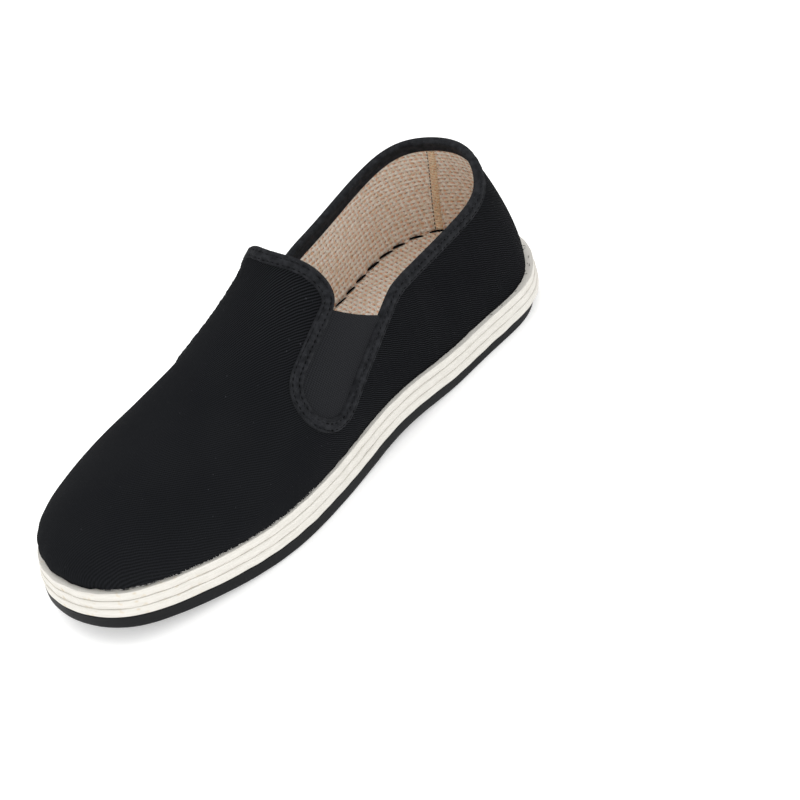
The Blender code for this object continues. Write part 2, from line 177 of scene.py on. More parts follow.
@dataclass(frozen=True)
class Last:
    """The last and the sole's stack in millimetres, as the part's source gives them."""
    length: float = 275.0
    ball_width: float = 94.0
    instep_rise: float = 72.0
    rubber_thick: float = 5.6
    rubber_tuck: float = 3.6
    toe_spring: float = 9.0
    arch_rise: float = 2.8
    layer_count: int = 3
    layer_thick: float = 3.4
    layer_step: float = 0.5
    gap: float = 0.3
    ledge_heel: float = 5.2
    ledge_waist: float = 2.4
    ledge_toe: float = 3.6
    wall: float = 2.0
    wall_bulge: float = 1.5
    bulge_height: float = 40.0
    insole_thick: float = 2.2
    flat_end: float = 0.29
    flat_start: float = 0.60
    spring_start: float = 0.705
    fan_heel: float = 0.29
    fan_toe: float = 0.84
    ledge_turns: tuple[float, ...] = (0.0, 0.9, 1.7, 2.5, math.pi)
    stations: tuple[Station, ...] = (
        Station(0.04, 0.262, 0.270, 1.31),
        Station(0.10, 0.380, 0.380, 1.45),
        Station(0.20, 0.405, 0.392, 1.49),
        Station(0.32, 0.410, 0.338, 1.34),
        Station(0.45, 0.414, 0.318, 1.10),
        Station(0.57, 0.438, 0.384, 0.80),
        Station(0.68, 0.464, 0.496, 0.555),
        Station(0.77, 0.442, 0.528, 0.455),
        Station(0.87, 0.369, 0.450, 0.40),
        Station(0.94, 0.289, 0.337, 0.38),
        Station(0.98, 0.190, 0.212, 0.37),
    )
    profiles: tuple[Profile, ...] = (
        Profile(0.00, 1.60, 0.1),
        Profile(0.30, 2.12, 0.5),
        Profile(0.55, 2.25, 1.0),
        Profile(0.75, 1.95, 1.1),
        Profile(1.00, 2.15, 0.9),
    )

    def fullness(self, turn: np.ndarray, right_side: np.ndarray) -> np.ndarray:
        """Half-width of the sole over the sine of the turn, smooth round both ends.

        Args:
            turn: turns from nought to half a turn.
            right_side: whether the wearer's right side is meant.

        Returns:
            Widths in millimetres.
        """
        turns = np.arccos(1.0 - 2.0 * np.array([row.along for row in self.stations]))
        sides = []
        for widths in ([row.left for row in self.stations], [row.right for row in self.stations]):
            share = np.array(widths) / np.sin(turns)
            share = np.concatenate((share[:1], share, share[-1:]))
            sides.append(smooth(turn, np.concatenate(([0.0], turns, [math.pi])), share))
        return np.where(right_side, sides[1], sides[0]) * self.ball_width

    def floor_rise(self, x: np.ndarray) -> np.ndarray:
        """Height of the sole's bottom: flat, a squared sine for the arch, a power at the toe.

        Args:
            x: places from the back of the sole.

        Returns:
            Heights over the floor.
        """
        share = np.asarray(x) / self.length
        arch = np.clip((share - self.flat_end) / (self.flat_start - self.flat_end), 0.0, 1.0)
        toe = np.clip((share - self.spring_start) / (1.0 - self.spring_start), 0.0, 1.05)
        return self.arch_rise * np.sin(math.pi * arch) ** 2 + self.toe_spring * toe ** 1.8

    def layer_bottom(self, number: int) -> float:
        """Height of the bottom of one white layer over the outsole's bottom.

        Args:
            number: the layer, counted from below.

        Returns:
            A height in millimetres.
        """
        return self.rubber_thick + self.gap + number * (self.layer_thick + self.gap)

    @property
    def seat(self) -> float:
        """Height of the upper's lower edge over the outsole's bottom."""
        return self.layer_bottom(self.layer_count)

    @property
    def middle(self) -> float:
        """Shift that brings the middle of the sole's width to y = 0."""
        turn = np.linspace(0.0, math.pi, 400)
        left = np.max(self.fullness(turn, False) * np.sin(turn))
        right = np.max(self.fullness(turn, True) * np.sin(turn))
        return 0.5 * float(right - left)

    def ledge(self, turn: np.ndarray) -> np.ndarray:
        """Width of the bare ledge between the sole's edge and the upper.

        Args:
            turn: turns from nought to half a turn.

        Returns:
            Widths in millimetres.
        """
        half = 0.5 * (self.ledge_heel + self.ledge_waist)
        widths = (self.ledge_heel, half, self.ledge_waist, self.ledge_waist, self.ledge_toe)
        return smooth(turn, self.ledge_turns, widths)

    def outline(self, turn: np.ndarray, inset: np.ndarray, tuck: float = 0.0) -> np.ndarray:
        """The sole's outline moved inwards, as x and y: half-ellipses in the turn whose
        half-width is the fullness.

        Args:
            turn: turns round the sole, 0 to a full turn.
            inset: distance inwards, of a shape that fits the turn's.
            tuck: how much further the heel's end is drawn in.

        Returns:
            The points, with x and y on the last axis.
        """
        folded = np.where(turn <= math.pi, turn, FULL - turn)
        side = np.where(turn <= math.pi, 1.0, -1.0)
        drawn = tuck * np.clip(1.0 - folded / 1.6, 0.0, 1.0)
        share = (1.0 - np.cos(folded)) / 2.0
        x = inset + tuck + (self.length - 2.0 * inset - tuck) * share
        y = side * (self.fullness(folded, side < 0.0) - inset - drawn) * np.sin(folded)
        return np.stack(np.broadcast_arrays(x, y), -1)

    def skin(self, turn: np.ndarray, rise: np.ndarray, inset: float = 0.0) -> np.ndarray:
        """Points of the last's skin, moved inwards by inset.

        From each point of the outline a curve with a superellipse's profile leads to its own
        point of the ridge, so the curves fan out round the heel and the toe. A swell that is
        a squared sine of the height stands out from the wall.
        

        Args:
            turn: turns round the last, 0 to a full turn.
            rise: rises, of a shape that fits the turn's.
            inset: distance inwards.

        Returns:
            Points with x, y and z on the last axis.
        """
        folded = np.where(turn <= math.pi, turn, FULL - turn)
        side = np.where(turn <= math.pi, 1.0, -1.0)
        share = (1.0 - np.cos(folded)) / 2.0
        full = self.fullness(folded, side < 0.0)
        back = self.ledge_heel + inset
        front = self.length - self.ledge_toe - inset
        foot_x = back + (front - back) * share
        foot_y = side * (full - self.ledge(folded) - inset) * np.sin(folded)
        ridge_back = self.fan_heel * self.length
        ridge_front = self.fan_toe * self.length
        ridge_x = ridge_back + (ridge_front - ridge_back) * share
        places = [row.along for row in self.profiles]
        power = smooth(share, places, [row.power for row in self.profiles])
        bulge = self.wall_bulge * smooth(share, places, [row.bulge for row in self.profiles])
        inwards = 1.0 - np.cos(rise) ** (2.0 / power)
        x = foot_x + (ridge_x - foot_x) * inwards
        y = foot_y * (1.0 - inwards)
        ridge = smooth(x / self.length, [row.along for row in self.stations],
                       [row.ridge for row in self.stations])
        top = ridge * self.instep_rise - inset
        height = top * np.sin(rise) ** (2.0 / power)
        out_x = -full * np.cos(folded)
        out_y = side * 0.5 * self.length * np.sin(folded)
        reach = np.hypot(out_x, out_y) + 1e-9
        low = np.clip(height / np.minimum(self.bulge_height, top), 0.0, 1.0)
        swell = bulge * np.sin(math.pi * np.sqrt(low)) ** 2
        x = x + swell * out_x / reach
        y = y + swell * out_y / reach
        z = height + self.floor_rise(x) + self.seat
        return np.stack(np.broadcast_arrays(x, y, z), -1)

    def normal(self, turn: np.ndarray, rise: np.ndarray, inset: float = 0.0) -> np.ndarray:
        """Outward unit normals of the skin: the cross product of its two slopes.

        Args:
            turn: turns round the last.
            rise: rises, of the same shape.
            inset: distance inwards.

        Returns:
            Unit vectors on the last axis.
        """
        step = 1e-4
        turn = np.maximum(turn, 2.0 * step)
        low = np.clip(rise, 0.004, QUARTER - 2.0 * step)
        by_turn = self.skin(turn + step, low, inset) - self.skin(turn - step, low, inset)
        by_rise = self.skin(turn, low + step, inset) - self.skin(turn, low - step, inset)
        return unit(np.cross(by_rise, by_turn))

    def find(self, x: np.ndarray, z: np.ndarray, right_side: bool = False) -> tuple:
        """Turn and rise of the skin's points with given side-view places, by Newton's way.

        Args:
            x: places from the back of the sole.
            z: heights over the floor.
            right_side: whether the wearer's right side is meant.

        Returns:
            The turns and the rises.
        """
        turn = np.arccos(1.0 - 2.0 * np.clip(x / self.length, 0.003, 0.97))
        rise = np.full_like(turn, 0.5)
        step = 1e-4
        flip = -1.0 if right_side else 1.0
        for _ in range(30):
            at = FULL - turn if right_side else turn
            here = self.skin(at, rise)
            by_turn = flip * (self.skin(at + step, rise) - here) / step
            by_rise = (self.skin(at, rise + step) - here) / step
            miss_x = x - here[..., 0]
            miss_z = z - here[..., 2]
            area = by_turn[..., 0] * by_rise[..., 2] - by_rise[..., 0] * by_turn[..., 2]
            area = np.where(np.abs(area) < 1.0, np.where(area < 0.0, -1.0, 1.0), area)
            turn_move = (miss_x * by_rise[..., 2] - by_rise[..., 0] * miss_z) / area
            rise_move = (by_turn[..., 0] * miss_z - miss_x * by_turn[..., 2]) / area
            turn = np.clip(turn + np.clip(turn_move, -0.2, 0.2), 0.0, math.pi - 0.01)
            rise = np.clip(rise + np.clip(rise_move, -0.2, 0.2), 0.01, 1.5)
        return (FULL - turn if right_side else turn), rise


@dataclass(frozen=True)
class Opening:
    """The opening's edge: collar, quarter corner, gore slot, throat corner and throat."""
    last: Last
    heel_height: float = 74.0
    quarter_height: float = 62.0
    tape_width: float = 4.5
    gore_width: float = 22.8
    gore_length: float = 48.0
    gore_slope: float = math.radians(31.0)
    gore_top_drop: float = 3.2
    gore_top_tilt: float = math.radians(24.0)
    gore_foot_along: float = 0.569
    gore_foot_share: float = 0.395
    throat_along: float = 0.505
    throat_side_along: float = 0.488
    quarter_round: float = 14.0
    throat_round: float = 9.0
    step: float = 0.55
    collar: tuple[CollarPoint, ...] = (
        CollarPoint(0.000, 1.10),
        CollarPoint(0.045, 1.01),
        CollarPoint(0.120, 0.56),
        CollarPoint(0.200, 0.25),
        CollarPoint(0.290, 0.11),
        CollarPoint(0.380, 0.00),
    )

    def gore_frame(self) -> tuple[np.ndarray, np.ndarray, np.ndarray]:
        """Side-view centre of the gore's round foot, the way up its middle and across it."""
        foot = np.array((self.gore_foot_along * self.last.length,
                         self.last.seat + self.gore_foot_share * self.last.instep_rise))
        upward = np.array((-math.cos(self.gore_slope), math.sin(self.gore_slope)))
        forward = np.array((math.sin(self.gore_slope), math.cos(self.gore_slope)))
        return foot, upward, forward

    @staticmethod
    def rounded(before: np.ndarray, corner: np.ndarray, after: np.ndarray, radius: float,
                steps: int) -> np.ndarray:
        """An arc of the given radius that touches both arms of a corner.

        Args:
            before: a point on the first arm.
            corner: the corner.
            after: a point on the second arm.
            radius: the arc's radius.
            steps: number of points.

        Returns:
            Points of the arc.
        """
        back = unit(before - corner)
        ahead = unit(after - corner)
        half = 0.5 * math.acos(float(back @ ahead))
        reach = radius / math.tan(half)
        centre = corner + unit(back + ahead) * radius / math.sin(half)
        first = corner + back * reach - centre
        final = corner + ahead * reach - centre
        spread = math.atan2(first[0] * final[1] - first[1] * final[0], float(first @ final))
        angles = np.linspace(0.0, spread, steps)
        return centre + np.stack((np.cos(angles) * first[0] - np.sin(angles) * first[1],
                                  np.sin(angles) * first[0] + np.cos(angles) * first[1]), -1)

    def raw_line(self) -> tuple[np.ndarray, np.ndarray]:
        """Turn and rise along the left half of the edge, from the heel's seam to the ridge."""
        last = self.last
        foot, upward, forward = self.gore_frame()
        radius = 0.5 * self.gore_width
        straight = self.gore_length - radius
        rear_top = foot - forward * radius + upward * straight
        corner = rear_top - upward * (rear_top[1] - self.quarter_height) / upward[1]
        front_top = foot + forward * radius + upward * straight
        throat_x = self.throat_side_along * last.length
        throat_corner = front_top + upward * (front_top[0] - throat_x) / -upward[0]
        rear_foot = foot - forward * radius
        front_foot = foot + forward * radius
        quarter = self.rounded(np.array((0.0, self.quarter_height)), corner, rear_foot,
                               self.quarter_round, 16)
        throat = self.rounded(front_foot, throat_corner, throat_corner + np.array((0.0, 30.0)),
                              self.throat_round, 20)
        sweep = np.linspace(0.0, math.pi, 40)[:, None]
        arc = foot - np.cos(sweep) * forward * radius - np.sin(sweep) * upward * radius
        rear = np.linspace(quarter[-1], rear_foot, 24)[1:-1]
        front = np.linspace(front_foot, throat[0], 24)[1:-1]
        side = np.concatenate((quarter, rear, arc, front, throat))
        turn, rise = last.find(side[:, 0], side[:, 1])

        places = [point.along for point in self.collar]
        lift = np.array([point.lift for point in self.collar])
        level = self.quarter_height + (self.heel_height - self.quarter_height) * lift
        collar_turn = np.linspace(0.0, turn[0], 91)[:-1]
        collar_level = smooth((1.0 - np.cos(collar_turn)) / 2.0, places, level)
        rises = np.linspace(0.0, QUARTER, 240)
        heights = last.skin(collar_turn[:, None], rises[None, :])[..., 2]
        collar_rise = np.array([np.interp(height, row, rises)
                                for row, height in zip(heights, collar_level)])
        over = np.linspace(0.0, 1.0, 40)[1:]
        over_rise = rise[-1] + (QUARTER - rise[-1]) * over
        blend = over * over * (3.0 - 2.0 * over)
        over_x = side[-1, 0] + (self.throat_along * last.length - side[-1, 0]) * blend
        turns = np.linspace(0.05, math.pi - 0.05, 400)
        lengths = last.skin(turns[None, :], over_rise[:, None])[..., 0]
        over_turn = np.array([np.interp(place, row, turns)
                              for row, place in zip(lengths, over_x)])
        return (np.concatenate((collar_turn, turn, over_turn)),
                np.concatenate((collar_rise, rise, over_rise)))

    def line(self) -> tuple[np.ndarray, np.ndarray]:
        """The left half of the edge at even steps, its small kinks smoothed away."""
        turn, rise = self.raw_line()
        walked = along(self.last.skin(turn, rise))
        count = int(round(walked[-1] / self.step))
        places = np.linspace(0.0, walked[-1], count + 1)
        turn = np.interp(places, walked, turn)
        rise = np.interp(places, walked, rise)
        kernel = np.exp(-0.5 * (np.arange(-9, 10) / 3.5) ** 2)
        kernel /= kernel.sum()
        for line, ends in ((turn, -1.0), (rise, 1.0)):
            head = line[1:10][::-1] * ends if ends > 0 else 2.0 * line[0] - line[1:10][::-1]
            tail = 2.0 * line[-1] - line[-10:-1][::-1]
            line[:] = np.convolve(np.concatenate((head, line, tail)), kernel, "valid")
        rise[-1] = QUARTER
        turn[0] = 0.0
        return turn, rise

    def moved(self, distance: float) -> tuple[np.ndarray, np.ndarray]:
        """The left half of the edge moved over the skin into the cloth by a distance.

        Args:
            distance: how far into the cloth.

        Returns:
            The turns and the rises.
        """
        turn, rise = self.line()
        step = 1e-4
        for _ in range(4):
            low = np.clip(rise, 0.01, QUARTER - 2.0 * step)
            safe = np.maximum(turn, 1e-3)
            here = self.last.skin(safe, low)
            by_turn = (self.last.skin(safe + step, low) - here) / step
            by_rise = (self.last.skin(safe, low + step) - here) / step
            tangent = np.gradient(here, axis=0)
            tangent[0] = (0.0, 1.0, 0.0)
            tangent[-1] = (0.0, -1.0, 0.0)
            inward = unit(np.cross(tangent, np.cross(by_turn, by_rise))) * distance / 4.0
            tt = (by_turn * by_turn).sum(1)
            tr = (by_turn * by_rise).sum(1)
            rr = (by_rise * by_rise).sum(1)
            to_turn = (by_turn * inward).sum(1)
            to_rise = (by_rise * inward).sum(1)
            area = tt * rr - tr * tr
            turn_move = (to_turn * rr - to_rise * tr) / area
            rise_move = (tt * to_rise - tr * to_turn) / area
            turn_move[0] = 0.0
            rise_move[-1] = 0.0
            turn = turn + turn_move
            rise = np.minimum(rise + rise_move, QUARTER)
        return turn, rise

    def ring(self, distance: float) -> tuple[np.ndarray, np.ndarray]:
        """Turn and rise of the whole closed edge moved into the cloth: the left half, then
        its mirror image on the right side back to the heel.

        Args:
            distance: how far into the cloth.

        Returns:
            The turns and the rises.
        """
        turn, rise = self.moved(distance) if distance > 0.0 else self.line()
        return (np.concatenate((turn, FULL - turn[-2:0:-1])),
                np.concatenate((rise, rise[-2:0:-1])))

    def mask_outline(self, distance: float) -> np.ndarray:
        """Side-view outline of all that lies above the edge moved into the cloth.

        Args:
            distance: how far into the cloth.

        Returns:
            Corners with x and z.
        """
        turn, rise = self.moved(distance)
        line = self.last.skin(turn, rise)[:, (0, 2)]
        above = 2.0 * self.last.instep_rise + self.last.seat
        behind = -0.1 * self.last.length
        ends = np.array(((line[-1, 0], above), (behind, above), (behind, line[0, 1])))
        return np.concatenate((line, ends))


@dataclass
class Draft:
    """A mesh in the making: millimetre points, quads and flat coordinates in millimetres."""
    points: list = field(default_factory=list)
    faces: list = field(default_factory=list)
    flats: list = field(default_factory=list)
    count: int = 0

    def grid(self, points: np.ndarray, flat: Optional[np.ndarray] = None, wrap_rows: bool = False,
             wrap_columns: bool = False, keep: Optional[np.ndarray] = None,
             index: Optional[np.ndarray] = None) -> None:
        """Adds a grid of points as quads.

        Args:
            points: rows by columns by three.
            flat: rows by columns by two, the pattern's coordinates in millimetres.
            wrap_rows: whether the last row joins the first.
            wrap_columns: whether the last column joins the first.
            keep: which quads are kept, rows by columns.
            index: number of the vertex of each grid point, where some share one.
        """
        rows, columns = points.shape[:2]
        own = np.arange(rows * columns).reshape(rows, columns) if index is None else index
        if wrap_rows:
            own = np.concatenate((own, own[:1]), 0)
        if wrap_columns:
            own = np.concatenate((own, own[:, :1]), 1)
        quads = np.stack((own[:-1, :-1], own[1:, :-1], own[1:, 1:], own[:-1, 1:]), -1)
        quads = quads.reshape(-1, 4) if keep is None else quads[keep]
        self.points.append(points.reshape(-1, 3))
        self.flats.append(np.zeros((rows * columns, 2)) if flat is None else flat.reshape(-1, 2))
        self.faces.append(quads + self.count)
        self.count += rows * columns

    def make(self, name: str, material: bpy.types.Material, last: Last,
             flip: bool = False) -> bpy.types.Object:
        """Makes the object, with its place in its mesh and a smooth shading.

        Args:
            name: the piece's name.
            material: its finish.
            last: gives the shift from shoe millimetres to the frame.
            flip: whether the faces are turned over.

        Returns:
            The new object, riding on nothing yet.
        """
        shift = np.array((-0.5 * last.length, last.middle, 0.0))
        points = (np.concatenate(self.points) + shift) * MM
        faces = np.concatenate(self.faces)
        if flip:
            faces = faces[:, ::-1]
        flats = np.concatenate(self.flats) * MM
        used, compact = np.unique(faces, return_inverse=True)
        faces = compact.reshape(faces.shape)
        mesh = bpy.data.meshes.new(name)
        rows = [list(dict.fromkeys(row)) for row in faces.tolist()]
        mesh.from_pydata(points[used].tolist(), [], [row for row in rows if len(row) > 2])
        corners = np.empty(len(mesh.loops), np.int32)
        mesh.loops.foreach_get("vertex_index", corners)
        layer = mesh.uv_layers.new(name="Cloth")
        layer.data.foreach_set("uv", flats[used][corners].astype(np.float32).ravel())
        mesh.polygons.foreach_set("use_smooth", np.ones(len(mesh.polygons), bool))
        mesh.materials.append(material)
        mesh.validate()
        mesh.update()
        piece = bpy.data.objects.new(name, mesh)
        bpy.context.scene.collection.objects.link(piece)
        return piece


def tubes(paths: np.ndarray, radius: np.ndarray, sides: int) -> np.ndarray:
    """Round tubes along many short paths: at each point a ring square to the path.

    Args:
        paths: tubes by points by three, in millimetres.
        radius: radius at each point, tubes by points or a shape that fits it.
        sides: corners of a ring.

    Returns:
        Points, tubes by points by sides by three.
    """
    tangent = unit(np.gradient(paths, axis=1))
    guide = np.broadcast_to(np.array((0.13, 0.21, 0.97)), tangent.shape)
    across = unit(np.cross(tangent, guide))
    up = np.cross(across, tangent)
    angle = np.linspace(0.0, FULL, sides, endpoint=False)
    ring = (np.cos(angle)[:, None] * across[:, :, None, :]
            + np.sin(angle)[:, None] * up[:, :, None, :])
    radius = np.broadcast_to(radius, paths.shape[:2])
    return paths[:, :, None, :] + ring * radius[:, :, None, None]


def add_tubes(draft: Draft, paths: np.ndarray, radius: np.ndarray, sides: int) -> None:
    """Adds closed round tubes to a draft; their ends taper to a point.

    Args:
        draft: the mesh in the making.
        paths: tubes by points by three.
        radius: radius at each point.
        sides: corners of a ring.
    """
    rings = tubes(paths, radius, sides)
    count, steps = paths.shape[:2]
    closed = np.concatenate((np.repeat(paths[:, :1, None], sides, 2), rings,
                             np.repeat(paths[:, -1:, None], sides, 2)), 1)
    size = (steps + 2) * sides
    own = np.arange(size).reshape(steps + 2, sides)
    own[0] = own[0, 0]
    own[-1] = own[-1, 0]
    own = np.concatenate((own, own[:, :1]), 1)
    quads = np.stack((own[:-1, :-1], own[:-1, 1:], own[1:, 1:], own[1:, :-1]), -1).reshape(-1, 4)
    faces = quads[None] + size * np.arange(count)[:, None, None]
    draft.points.append(closed.reshape(-1, 3))
    draft.flats.append(np.zeros((count * size, 2)))
    draft.faces.append(faces.reshape(-1, 4) + draft.count)
    draft.count += count * size


def linear(colour: str) -> tuple[float, float, float, float]:
    """A hex sRGB colour as linear light with full alpha.

    Args:
        colour: a hash sign and six hex digits.

    Returns:
        Red, green, blue and alpha.
    """
    parts = [int(colour[start:start + 2], 16) / 255.0 for start in (1, 3, 5)]
    light = [part / 12.92 if part <= 0.04045 else ((part + 0.055) / 1.055) ** 2.4
             for part in parts]
    return (light[0], light[1], light[2], 1.0)


OPTION = {"Math": "operation", "VectorMath": "operation", "Mix": "data_type",
          "MapRange": "interpolation_type", "UVMap": "uv_map"}


def add(tree: bpy.types.NodeTree, kind: str, *values) -> bpy.types.NodeSocket:
    """Adds a node with its setting and links.

    Args:
        tree: the material's node tree.
        kind: the node's type and, after a dot, its one setting.
        values: for its sockets in use, in order: each a number, a vector, a hex colour or
            the output socket to link.

    Returns:
        The node's first output in use.
    """
    name, _, choice = kind.partition(".")
    made = tree.nodes.new(f"ShaderNode{name}")
    if choice:
        setattr(made, OPTION[name], choice)
    for socket, value in zip([own for own in made.inputs if own.enabled], values):
        if isinstance(value, bpy.types.NodeSocket):
            tree.links.new(value, socket)
        else:
            socket.default_value = linear(value) if isinstance(value, str) else value
    return next(own for own in made.outputs if own.enabled)


class Basis(Enum):
    """What a pattern's coordinates follow: the cloth laid flat or the object itself."""
    CLOTH = "Cloth"
    OBJECT = "Object"


class Finish:
    """A material in the making: its tree, its shader and its pattern's coordinates."""

    def __init__(self, name: str, basis: Basis) -> None:
        """Starts the material with a Principled shader and coordinates in millimetres."""
        self.material = bpy.data.materials.new(name)
        self.material.use_nodes = True
        self.tree = self.material.node_tree
        self.shader = self.tree.nodes["Principled BSDF"]
        body = add(self.tree, "TexCoord").node.outputs["Object"]
        source = add(self.tree, "UVMap.Cloth") if basis is Basis.CLOTH else body
        self.place = add(self.tree, "VectorMath.MULTIPLY", source, (1.0 / MM,) * 3)
        split = add(self.tree, "SeparateXYZ", self.place).node
        self.across = split.outputs[0]
        self.down = split.outputs[1]
        self.length = add(self.tree, "Math.MULTIPLY_ADD", add(self.tree, "SeparateXYZ", body),
                          1.0 / MM, 0.5 * Last.length)

    def set(self, **values: float) -> None:
        """Sets constants on the shader's own sockets; underscores stand for blanks."""
        for name, value in values.items():
            self.shader.inputs[name.replace("_", " ")].default_value = value

    def finish(self, colour: bpy.types.NodeSocket, height: bpy.types.NodeSocket, depth: float,
               roughness: Optional[bpy.types.NodeSocket] = None) -> bpy.types.Material:
        """Links the colour, a bump of the given depth in millimetres and the roughness.

        Args:
            colour: the base colour.
            height: the bump's height.
            depth: its depth in millimetres.
            roughness: the roughness, where it varies.

        Returns:
            The finished material.
        """
        tree = self.tree
        tree.links.new(colour, self.shader.inputs["Base Color"])
        bump = add(tree, "Bump", 1.0, depth * MM)
        tree.links.new(height, bump.node.inputs["Height"])
        tree.links.new(bump, self.shader.inputs["Normal"])
        if roughness is not None:
            tree.links.new(roughness, self.shader.inputs["Roughness"])
        return self.material


@dataclass(frozen=True)
class TwillCotton:
    """Black cotton twill, piece-dyed and matt: fine slanting wales with a light nap that
    greys at a grazing view, and a few specks of lint. Toward the heel the wales get more
    contrast in colour and bump; in colour this is painted light, standing in for raking light
    on the quarter."""
    wale: float = 0.82
    slant: float = math.radians(37.0)
    rib: str = "#232427"
    groove: str = "#090A0A"
    lint: str = "#35363A"
    # painted light: where the wales' raking-light contrast ends and starts, in mm from the heel
    raking_light_from: float = 105.0
    raking_light_to: float = 200.0

    def build(self) -> bpy.types.Material:
        """Wales are a sine across the slant, broken into floats by a finer sine along it."""
        made = Finish("Black cotton twill", Basis.CLOTH)
        tree = made.tree
        wobble = add(tree, "Math.MULTIPLY", add(tree, "Math.SUBTRACT", add(tree, "TexNoise", made.place, 1.0 / 9.0, 2.0), 0.5), 1.1)
        over = add(tree, "Math.ADD", add(tree, "Math.MULTIPLY", made.across, math.sin(self.slant)),
                     add(tree, "Math.MULTIPLY", made.down, math.cos(self.slant)))
        over = add(tree, "Math.ADD", over, wobble)
        run = add(tree, "Math.SUBTRACT", add(tree, "Math.MULTIPLY", made.down, math.sin(self.slant)),
                    add(tree, "Math.MULTIPLY", made.across, math.cos(self.slant)))
        wave = add(tree, "Math.SINE", add(tree, "Math.MULTIPLY", over, FULL / self.wale))
        floats = add(tree, "Math.SINE", add(tree, "Math.MULTIPLY",
                                           add(tree, "Math.ADD", run, add(tree, "Math.MULTIPLY", over, 0.6)),
                                           FULL / (1.15 * self.wale)))
        fuzz = add(tree, "TexNoise", made.place, 1.0 / 0.5, 3.0)
        rib = add(tree, "Math.ADD", add(tree, "Math.MULTIPLY", wave, 0.5),
                    add(tree, "Math.MULTIPLY", floats, 0.14))
        # painted light: the wales' contrast rises toward the heel, standing in for the raking light that shows the
        # twill on the quarter; the bump deepens with it
        raking_light_contrast = add(tree, "MapRange.SMOOTHSTEP", made.length, self.raking_light_to, self.raking_light_from, 0.35, 1.9)
        rib = add(tree, "Math.ADD", add(tree, "Math.MULTIPLY", rib, raking_light_contrast),
                    add(tree, "Math.MULTIPLY", fuzz, 0.5))
        light = add(tree, "MapRange.SMOOTHSTEP", rib, -0.35, 0.85)
        cloud = add(tree, "MapRange.SMOOTHSTEP", add(tree, "TexNoise", made.place, 1.0 / 34.0, 3.0), 0.35, 0.7)
        colour = add(tree, "Mix.RGBA", light, self.groove, self.rib)
        colour = add(tree, "Mix.RGBA", add(tree, "Math.MULTIPLY", cloud, 0.30), colour, "#101114")
        speck = add(tree, "MapRange.SMOOTHSTEP", add(tree, "TexNoise", made.place, 1.0 / 1.1, 0.0), 0.83, 0.87)
        spread = add(tree, "MapRange.SMOOTHSTEP", add(tree, "TexNoise", made.place, 1.0 / 15.0, 1.0), 0.46, 0.62)
        colour = add(tree, "Mix.RGBA", add(tree, "Math.MULTIPLY", speck, spread), colour, self.lint)
        made.set(Roughness=0.95, Specular_IOR_Level=0.02)
        return made.finish(colour, rib, 0.16)


@dataclass(frozen=True)
class TapeCotton:
    """Soft black cotton binding tape in plain weave: duller and a little lighter than the
    twill, with short loose fibres."""
    thread: float = 0.55
    body: str = "#303134"
    shade: str = "#17181A"

    def build(self) -> bpy.types.Material:
        """A fine plain weave is the product of two sines, under fibre noise."""
        made = Finish("Black cotton tape", Basis.CLOTH)
        tree = made.tree
        warp = add(tree, "Math.SINE", add(tree, "Math.MULTIPLY", made.across, FULL / self.thread))
        weft = add(tree, "Math.SINE", add(tree, "Math.MULTIPLY", made.down, FULL / self.thread))
        weave = add(tree, "Math.MULTIPLY", warp, weft)
        fibre = add(tree, "TexNoise", made.place, 1.0 / 0.42, 3.0)
        soft = add(tree, "TexNoise", made.place, 1.0 / 2.6, 3.0)
        height = add(tree, "Math.ADD", add(tree, "Math.MULTIPLY", weave, 0.14),
                       add(tree, "Math.ADD", add(tree, "Math.MULTIPLY", fibre, 0.5),
                             add(tree, "Math.MULTIPLY", soft, 0.9)))
        light = add(tree, "MapRange.SMOOTHSTEP", height, 0.4, 1.05)
        colour = add(tree, "Mix.RGBA", light, self.shade, self.body)
        speck = add(tree, "MapRange.SMOOTHSTEP", add(tree, "TexNoise", made.place, 1.0 / 0.9, 0.0), 0.80, 0.84)
        colour = add(tree, "Mix.RGBA", add(tree, "Math.MULTIPLY", speck, 0.3), colour, "#4E5052")
        made.set(Roughness=0.95, Specular_IOR_Level=0.03, Sheen_Weight=0.02,
                 Sheen_Roughness=0.5)
        return made.finish(colour, height, 0.22)


@dataclass(frozen=True)
class RibElastic:
    """Black elastic web: rubber threads covered in cotton, so fine cords run along it, each
    crossed by tight weft turns; greyer than the twill."""
    cord: float = 1.0
    turn: float = 0.8
    crest: str = "#2A2B2E"
    trough: str = "#101113"

    def build(self) -> bpy.types.Material:
        """Cords are a sine across the web and turns a sine along it."""
        made = Finish("Black covered elastic", Basis.CLOTH)
        tree = made.tree
        drift = add(tree, "Math.MULTIPLY", add(tree, "TexNoise", made.place, 1.0 / 4.0, 1.0), 0.5)
        cords = add(tree, "Math.SINE", add(tree, "Math.MULTIPLY",
                                          add(tree, "Math.ADD", made.across, drift),
                                          FULL / self.cord))
        turns = add(tree, "Math.SINE", add(tree, "Math.MULTIPLY",
                                          add(tree, "Math.ADD", made.down, drift),
                                          FULL / self.turn))
        fuzz = add(tree, "TexNoise", made.place, 1.0 / 0.45, 2.0)
        height = add(tree, "Math.ADD", add(tree, "Math.MULTIPLY", cords, 0.12),
                       add(tree, "Math.ADD", add(tree, "Math.MULTIPLY", turns, 0.16),
                             add(tree, "Math.MULTIPLY", fuzz, 0.6)))
        light = add(tree, "MapRange.SMOOTHSTEP", height, -0.15, 0.75)
        colour = add(tree, "Mix.RGBA", light, self.trough, self.crest)
        colour = add(tree, "Mix.RGBA", add(tree, "Math.MULTIPLY", add(tree, "MapRange.SMOOTHSTEP", add(tree, "TexNoise", made.place, 1.0 / 11.0, 2.0), 0.3, 0.7), 0.25),
                       colour, "#1F2022")
        made.set(Roughness=0.9, Specular_IOR_Level=0.05, Sheen_Weight=0.05, Sheen_Roughness=0.5)
        return made.finish(colour, height, 0.14)


